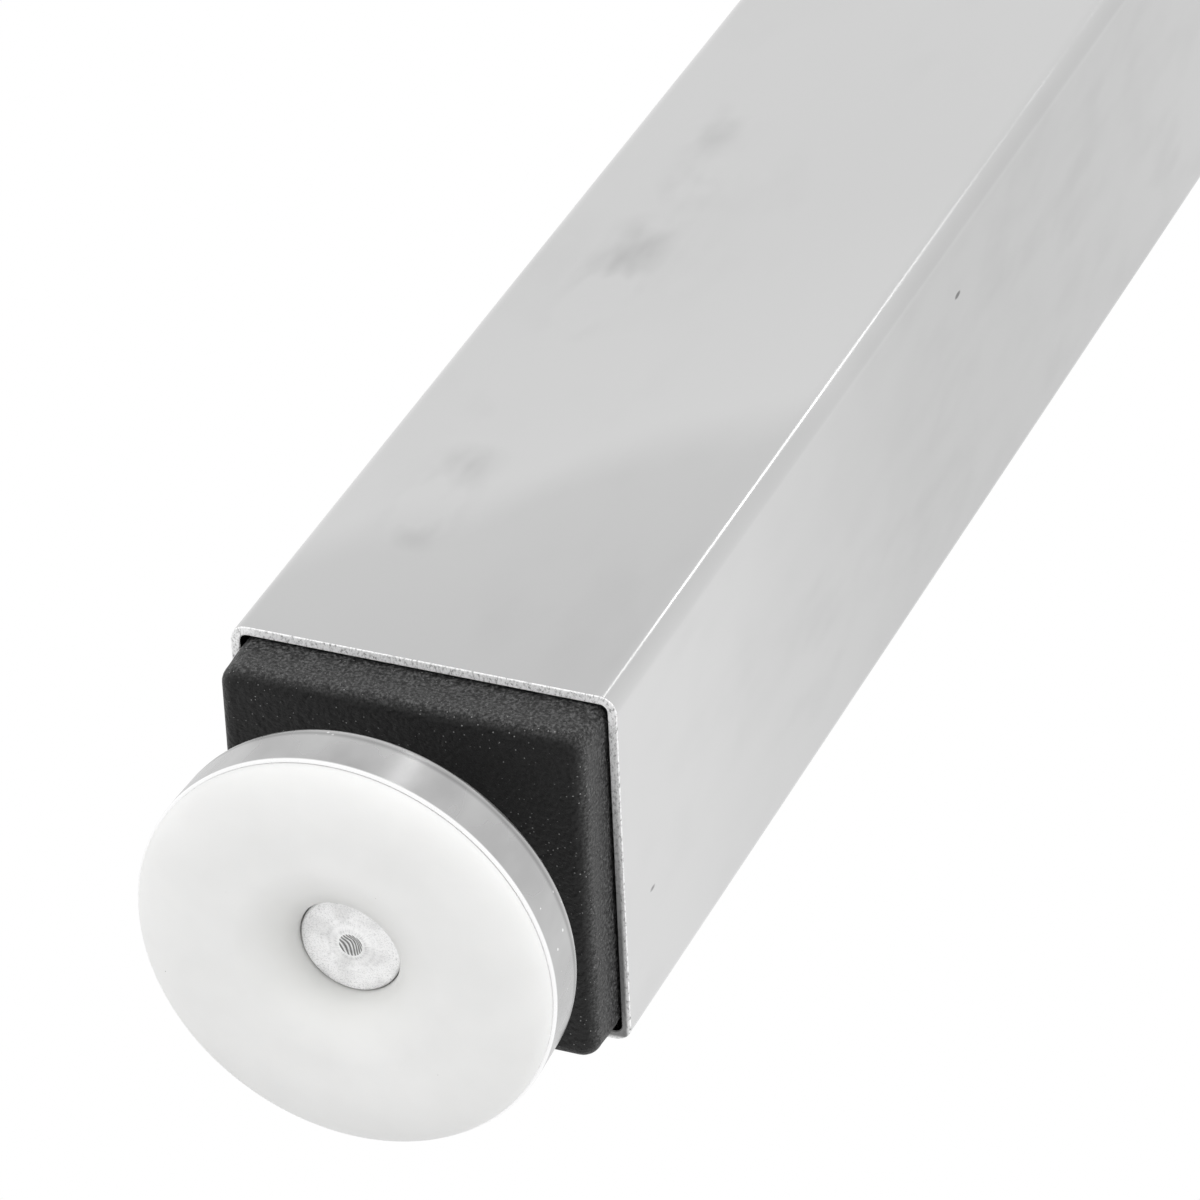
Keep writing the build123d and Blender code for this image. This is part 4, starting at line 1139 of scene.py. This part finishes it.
def make_clamp_bolt():
    """Coach bolt: domed head, square neck in the slot, thread end in the knob."""
    low, high = mm_box("clamp_bolt")
    middle = (low.z + high.z) / 2
    under = -washer_low.x
    rise = under - low.x
    sphere = (rise ** 2 + DOME_RADIUS ** 2) / (2 * rise)
    span = math.asin((DOME_RADIUS - DOME_EDGE) / sphere)
    angles = [span * step / DOME_STEPS for step in range(DOME_STEPS + 1)]
    outline = [(sphere * math.sin(a), -rise + sphere * (1 - math.cos(a))) for a in angles]
    shank_end = high.x - COACH_THREAD - under
    outline += [(DOME_RADIUS, -DOME_EDGE / 2), (DOME_RADIUS - DOME_EDGE / 2, 0), (M8_RADIUS, 0),
                (M8_RADIUS, shank_end), (0, shank_end)]
    base = along_x(under, middle)
    bm = bmesh.new()
    turned(bm, base, outline)
    loft(bm, base, [square_ring(*level) for level in (
        (COACH_NECK_HALF, COACH_NECK_CORNER, -COACH_NECK_SUNK),
        (COACH_NECK_HALF, COACH_NECK_CORNER, COACH_NECK_LENGTH - COACH_NECK_LEAD),
        (COACH_NECK_HALF - COACH_NECK_LEAD, COACH_NECK_TIP, COACH_NECK_LENGTH))])
    threaded(bm, along_x(high.x - COACH_THREAD - THREAD_OVERLAP, middle), M8_RADIUS, M8_PITCH,
             COACH_THREAD + THREAD_OVERLAP, COACH_CHAMFER, bolt_zinc)
    piece(bm, "coach_bolt", "leg", bolt_zinc, ("clamp_bolt",))


make_clamp_bolt()

KNOB_RADIUS = 18.0
KNOB_LOBES = 5
KNOB_STEPS = 200
SCALLOP_RADIUS = 8.0
SCALLOP_CENTRE = 21.2
LOBE_BLEND = 3.0
KNOB_EDGE = 2.5
UNDER_EDGE = 0.8
HUB_RADIUS = 8.5
HUB_HEIGHT = 8.5
HUB_EDGE = 0.4
HUB_FILLET = 0.5
INSERT_RADIUS = 6.0
INSERT_LENGTH = 13.0
INSERT_BORE = M8_RADIUS + 0.05
KNOB_BORE = 4.4
BORE_DEPTH = 17.5
# The shallow round dish in the crown, from its rim inwards, as radius and depth
DISH_RIM = 9.4
KNOB_DISH = ((9.0, 0.12), (8.6, 0.5), (8.2, 0.62), (3.0, 0.7), (0.5, 0.7))


def lobe_radius(angle):
    """The knob's outline: a circle with scallops, blended where they meet."""
    turn = (angle + math.pi / KNOB_LOBES) % (FULL_TURN / KNOB_LOBES) - math.pi / KNOB_LOBES
    across = SCALLOP_CENTRE * math.sin(turn)
    if abs(across) >= SCALLOP_RADIUS:
        return KNOB_RADIUS
    scallop = SCALLOP_CENTRE * math.cos(turn) - math.sqrt(SCALLOP_RADIUS ** 2 - across ** 2)
    blend = max(LOBE_BLEND - abs(KNOB_RADIUS - scallop), 0)
    return min(KNOB_RADIUS, scallop) - blend * blend / (4 * LOBE_BLEND)


def make_knob():
    """Lobed knob with a soft crown and a shallow dish, and its brass insert."""
    low, high = mm_box("clamp_knob")
    insert_low, insert_high = mm_box("knob_insert")
    base = along_x(low.x, (insert_low.z + insert_high.z) / 2)
    height = high.x - low.x
    angles = directions(KNOB_STEPS)

    def circle(radius, level):
        return [polar(radius, a, level) for a in angles]

    def lobes(inset, level):
        return [polar(lobe_radius(a) - inset, a, level) for a in angles]

    rings = [circle(*level) for level in (
        (KNOB_BORE, BORE_DEPTH), (KNOB_BORE, INSERT_LENGTH), (INSERT_RADIUS, INSERT_LENGTH),
        (INSERT_RADIUS, 0), (HUB_RADIUS - HUB_EDGE, 0), (HUB_RADIUS, HUB_EDGE),
        (HUB_RADIUS, HUB_HEIGHT - HUB_FILLET), (HUB_RADIUS + HUB_FILLET, HUB_HEIGHT))]
    rings += [lobes(UNDER_EDGE - x, HUB_HEIGHT + UNDER_EDGE + z)
              for x, z in quarter((0, 0), (UNDER_EDGE, UNDER_EDGE), -90, 4)]
    rings += [lobes(KNOB_EDGE - x, height - KNOB_EDGE + z)
              for x, z in quarter((0, 0), (KNOB_EDGE, KNOB_EDGE), 0, 10)]
    # The crown's lobes turn into the dish's round rim
    for share in (0.3, 0.65, 1.0):
        rings.append([polar((lobe_radius(a) - KNOB_EDGE) * (1 - share) + DISH_RIM * share, a, height)
                      for a in angles])
    rings += [circle(radius, height - depth) for radius, depth in KNOB_DISH]
    bm = bmesh.new()
    loft(bm, base, rings)
    piece(bm, "lobed_knob", "knob", knob_black, ("clamp_knob",), crease=40)
    bm = bmesh.new()
    turned(bm, base, rounded([
        (INSERT_BORE, 0, 0.4), (INSERT_BORE, INSERT_LENGTH, 0.2), (INSERT_RADIUS, INSERT_LENGTH, 0),
        (INSERT_RADIUS, 0, 0.3)], steps=4), closed=True)
    piece(bm, "brass_insert", "knob", insert_brass, ("knob_insert",))


make_knob()

RIVET_HEAD = 4.5
RIVET_RISE = 1.3
RIVET_STEM = 2.4
RIVET_DEPTH = 9.0
RIVET_SPACING = 24.0


def make_rivet_tree():
    """Domed rivets in a row of two on the tube's front face and another on its back face."""
    tree, size = new_tree("tube_rivets", (
        "Head Radius", "Rise", "Stem Radius", "Depth", "Spacing", "Reach", "Height"))
    blank = add_node(tree, "GeometryNodeMeshCylinder", {
        "Vertices": 48, "Side Segments": 10, "Radius": 1.0, "Depth": size["Rise"]})
    spot = add_node(tree, "ShaderNodeSeparateXYZ", {0: add_node(tree, "GeometryNodeInputPosition")})
    risen = add_node(tree, "ShaderNodeMath", {
        0: size["Rise"], 1: 0.5, 2: spot.outputs["Z"]}, operation="MULTIPLY_ADD")
    # The dome is a sphere's cap: its radius at a height follows from the sphere through rim and crown
    rise_square = add_node(tree, "ShaderNodeMath", {
        0: size["Rise"], 1: size["Rise"]}, operation="MULTIPLY")
    squares = add_node(tree, "ShaderNodeMath", {
        0: size["Head Radius"], 1: size["Head Radius"], 2: rise_square}, operation="MULTIPLY_ADD")
    sphere = add_node(tree, "ShaderNodeMath", {0: squares, 1: size["Rise"]}, operation="DIVIDE")
    sphere = add_node(tree, "ShaderNodeMath", {0: sphere, 1: 0.5}, operation="MULTIPLY")
    centre = add_node(tree, "ShaderNodeMath", {0: sphere, 1: size["Rise"]}, operation="SUBTRACT")
    above = add_node(tree, "ShaderNodeMath", {0: centre, 1: risen}, operation="ADD")
    above_square = add_node(tree, "ShaderNodeMath", {0: above, 1: above}, operation="MULTIPLY")
    sphere_square = add_node(tree, "ShaderNodeMath", {0: sphere, 1: sphere}, operation="MULTIPLY")
    rest = add_node(tree, "ShaderNodeMath", {0: sphere_square, 1: above_square}, operation="SUBTRACT")
    rest = add_node(tree, "ShaderNodeMath", {0: rest, 1: 0.0}, operation="MAXIMUM")
    radius = add_node(tree, "ShaderNodeMath", {0: rest}, operation="SQRT")
    across = add_node(tree, "ShaderNodeMath", {0: spot.outputs["X"], 1: radius}, operation="MULTIPLY")
    along = add_node(tree, "ShaderNodeMath", {0: spot.outputs["Y"], 1: radius}, operation="MULTIPLY")
    domed = add_node(tree, "ShaderNodeCombineXYZ", {"X": across, "Y": along, "Z": risen})
    head = add_node(tree, "GeometryNodeSetPosition", {"Geometry": blank, "Position": domed})
    stem = add_node(tree, "GeometryNodeMeshCylinder", {
        "Vertices": 24, "Radius": size["Stem Radius"], "Depth": size["Depth"]})
    sunk = add_node(tree, "ShaderNodeMath", {0: size["Depth"], 1: -0.5}, operation="MULTIPLY")
    stem = add_node(tree, "GeometryNodeTransform", {
        "Geometry": stem, "Translation": add_node(tree, "ShaderNodeCombineXYZ", {"Z": sunk})})
    rivet = add_node(tree, "GeometryNodeJoinGeometry", {"Geometry": [head, stem]})
    first = add_node(tree, "ShaderNodeMath", {0: size["Spacing"], 1: -0.5}, operation="MULTIPLY")
    step = add_node(tree, "ShaderNodeCombineXYZ", {"X": size["Spacing"]})
    rows = []
    for side in (-1, 1):
        reach = add_node(tree, "ShaderNodeMath", {0: size["Reach"], 1: side}, operation="MULTIPLY")
        start = add_node(tree, "ShaderNodeCombineXYZ", {"X": first, "Y": reach, "Z": size["Height"]})
        line = add_node(tree, "GeometryNodeMeshLine", {
            "Count": 2, "Start Location": start, "Offset": step})
        rows.append(add_node(tree, "GeometryNodeInstanceOnPoints", {
            "Points": line, "Instance": rivet, "Rotation": (-side * RIGHT_ANGLE, 0, 0)}))
    end_tree(tree, add_node(tree, "GeometryNodeJoinGeometry", {"Geometry": rows}), size["Material"])
    return tree


def make_rivets():
    """The four rivets that hold the head in the tube."""
    low, high = mm_box("head_rivet_1")
    mesh = grown(make_rivet_tree(), Head_Radius=RIVET_HEAD * MM, Rise=RIVET_RISE * MM,
                 Stem_Radius=RIVET_STEM * MM, Depth=RIVET_DEPTH * MM, Spacing=RIVET_SPACING * MM,
                 Reach=tube_high.y * MM, Height=(low.z + high.z) / 2 * MM, Material=rivet_metal)
    bm = bmesh.new()
    bm.from_mesh(mesh)
    nodes = ["head_rivet_" + str(number) for number in range(1, 5)]
    piece(bm, "domed_rivets", "leg", rivet_metal, nodes)


make_rivets()

# Studio


def seen_ray(tree):
    """One for rays that show a surface, directly, mirrored or through glass, and nought for light."""
    rays = add_node(tree, "ShaderNodeLightPath")
    seen = rays.outputs["Is Camera Ray"]
    for kind in ("Is Glossy Ray", "Is Transmission Ray"):
        seen = add_node(tree, "ShaderNodeMath", {0: seen, 1: rays.outputs[kind]}, operation="MAXIMUM")
    return seen


def make_world(light_level):
    """White where it is seen or mirrored, softer as a light."""
    world = bpy.data.worlds.new("studio")
    world.use_nodes = True
    bpy.context.scene.world = world
    tree = world.node_tree
    tree.nodes.clear()
    white = linear("#FFFFFF")
    soft = add_node(tree, "ShaderNodeBackground", {"Color": white, "Strength": light_level})
    bright = add_node(tree, "ShaderNodeBackground", {"Color": white, "Strength": 1.0})
    mix = add_node(tree, "ShaderNodeMixShader", {0: seen_ray(tree), 1: soft, 2: bright})
    add_node(tree, "ShaderNodeOutputWorld", {"Surface": mix})


def make_floor(height, reach):
    """A pale floor that looks as white as the world. The photograph looks up past the foot, so the floor
    lies below the camera, too far down for the leg's soft shadow to show on it."""
    bm = bmesh.new()
    level = Matrix.Translation((0, 0, height))
    bmesh.ops.create_grid(bm, x_segments=1, y_segments=1, size=reach, matrix=level)
    mesh = as_mesh(bm, "floor")
    # Matt pale paint on board, which lights the leg from below and glows white where it is seen
    pale = "#F4F4F4"
    material, tree, _ = new_material("pale_studio_floor", pale)
    paint = add_node(tree, "ShaderNodeBsdfPrincipled", {"Base Color": linear(pale), "Roughness": 0.6})
    glow = add_node(tree, "ShaderNodeEmission", {"Color": linear("#FFFFFF"), "Strength": 1.0})
    mix = add_node(tree, "ShaderNodeMixShader", {0: seen_ray(tree), 1: paint, 2: glow})
    add_node(tree, "ShaderNodeOutputMaterial", {"Surface": mix})
    mesh.materials.append(material)
    linked("floor", mesh)


def make_lamp(name, place, target, size, watts, mirrored=False):
    """A round soft lamp. Only a mirrored one shows in metal, which otherwise mirrors the white studio."""
    data = bpy.data.lights.new(name, "AREA")
    data.shape = "DISK"
    data.size = size
    data.energy = watts
    lamp = linked(name, data)
    lamp.visible_glossy = mirrored
    lamp.visible_camera = False
    lamp.location = place
    lamp.rotation_mode = "QUATERNION"
    lamp.rotation_quaternion = (Vector(target) - Vector(place)).to_track_quat("-Z", "Y")


FOOT = (0, 0, -0.66)
SHIN = (0, 0, -0.2)
GLIDE = (0, 0, -0.7)
LIGHT_LEVEL = 0.72
FLOOR_HEIGHT = -5.0
FLOOR_REACH = 40.0

make_world(LIGHT_LEVEL)
make_floor(FLOOR_HEIGHT, FLOOR_REACH)
make_lamp("key", (-1.1, -1.5, -1.2), FOOT, 1.2, 12.5)
make_lamp("front", (0.1, -0.45, -2.3), FOOT, 1.2, 6.5)
make_lamp("fill", (1.6, -0.6, -0.6), FOOT, 1.4, 13.0)
make_lamp("back", (-0.6, 1.6, 0.5), SHIN, 1.2, 9.0)
# Small and close, for the thin bright line along the tube's corner
make_lamp("glint", (0.0, -0.42, -0.14), GLIDE, 0.07, 0.045, mirrored=True)

bpy.context.scene.view_settings.view_transform = "Standard"
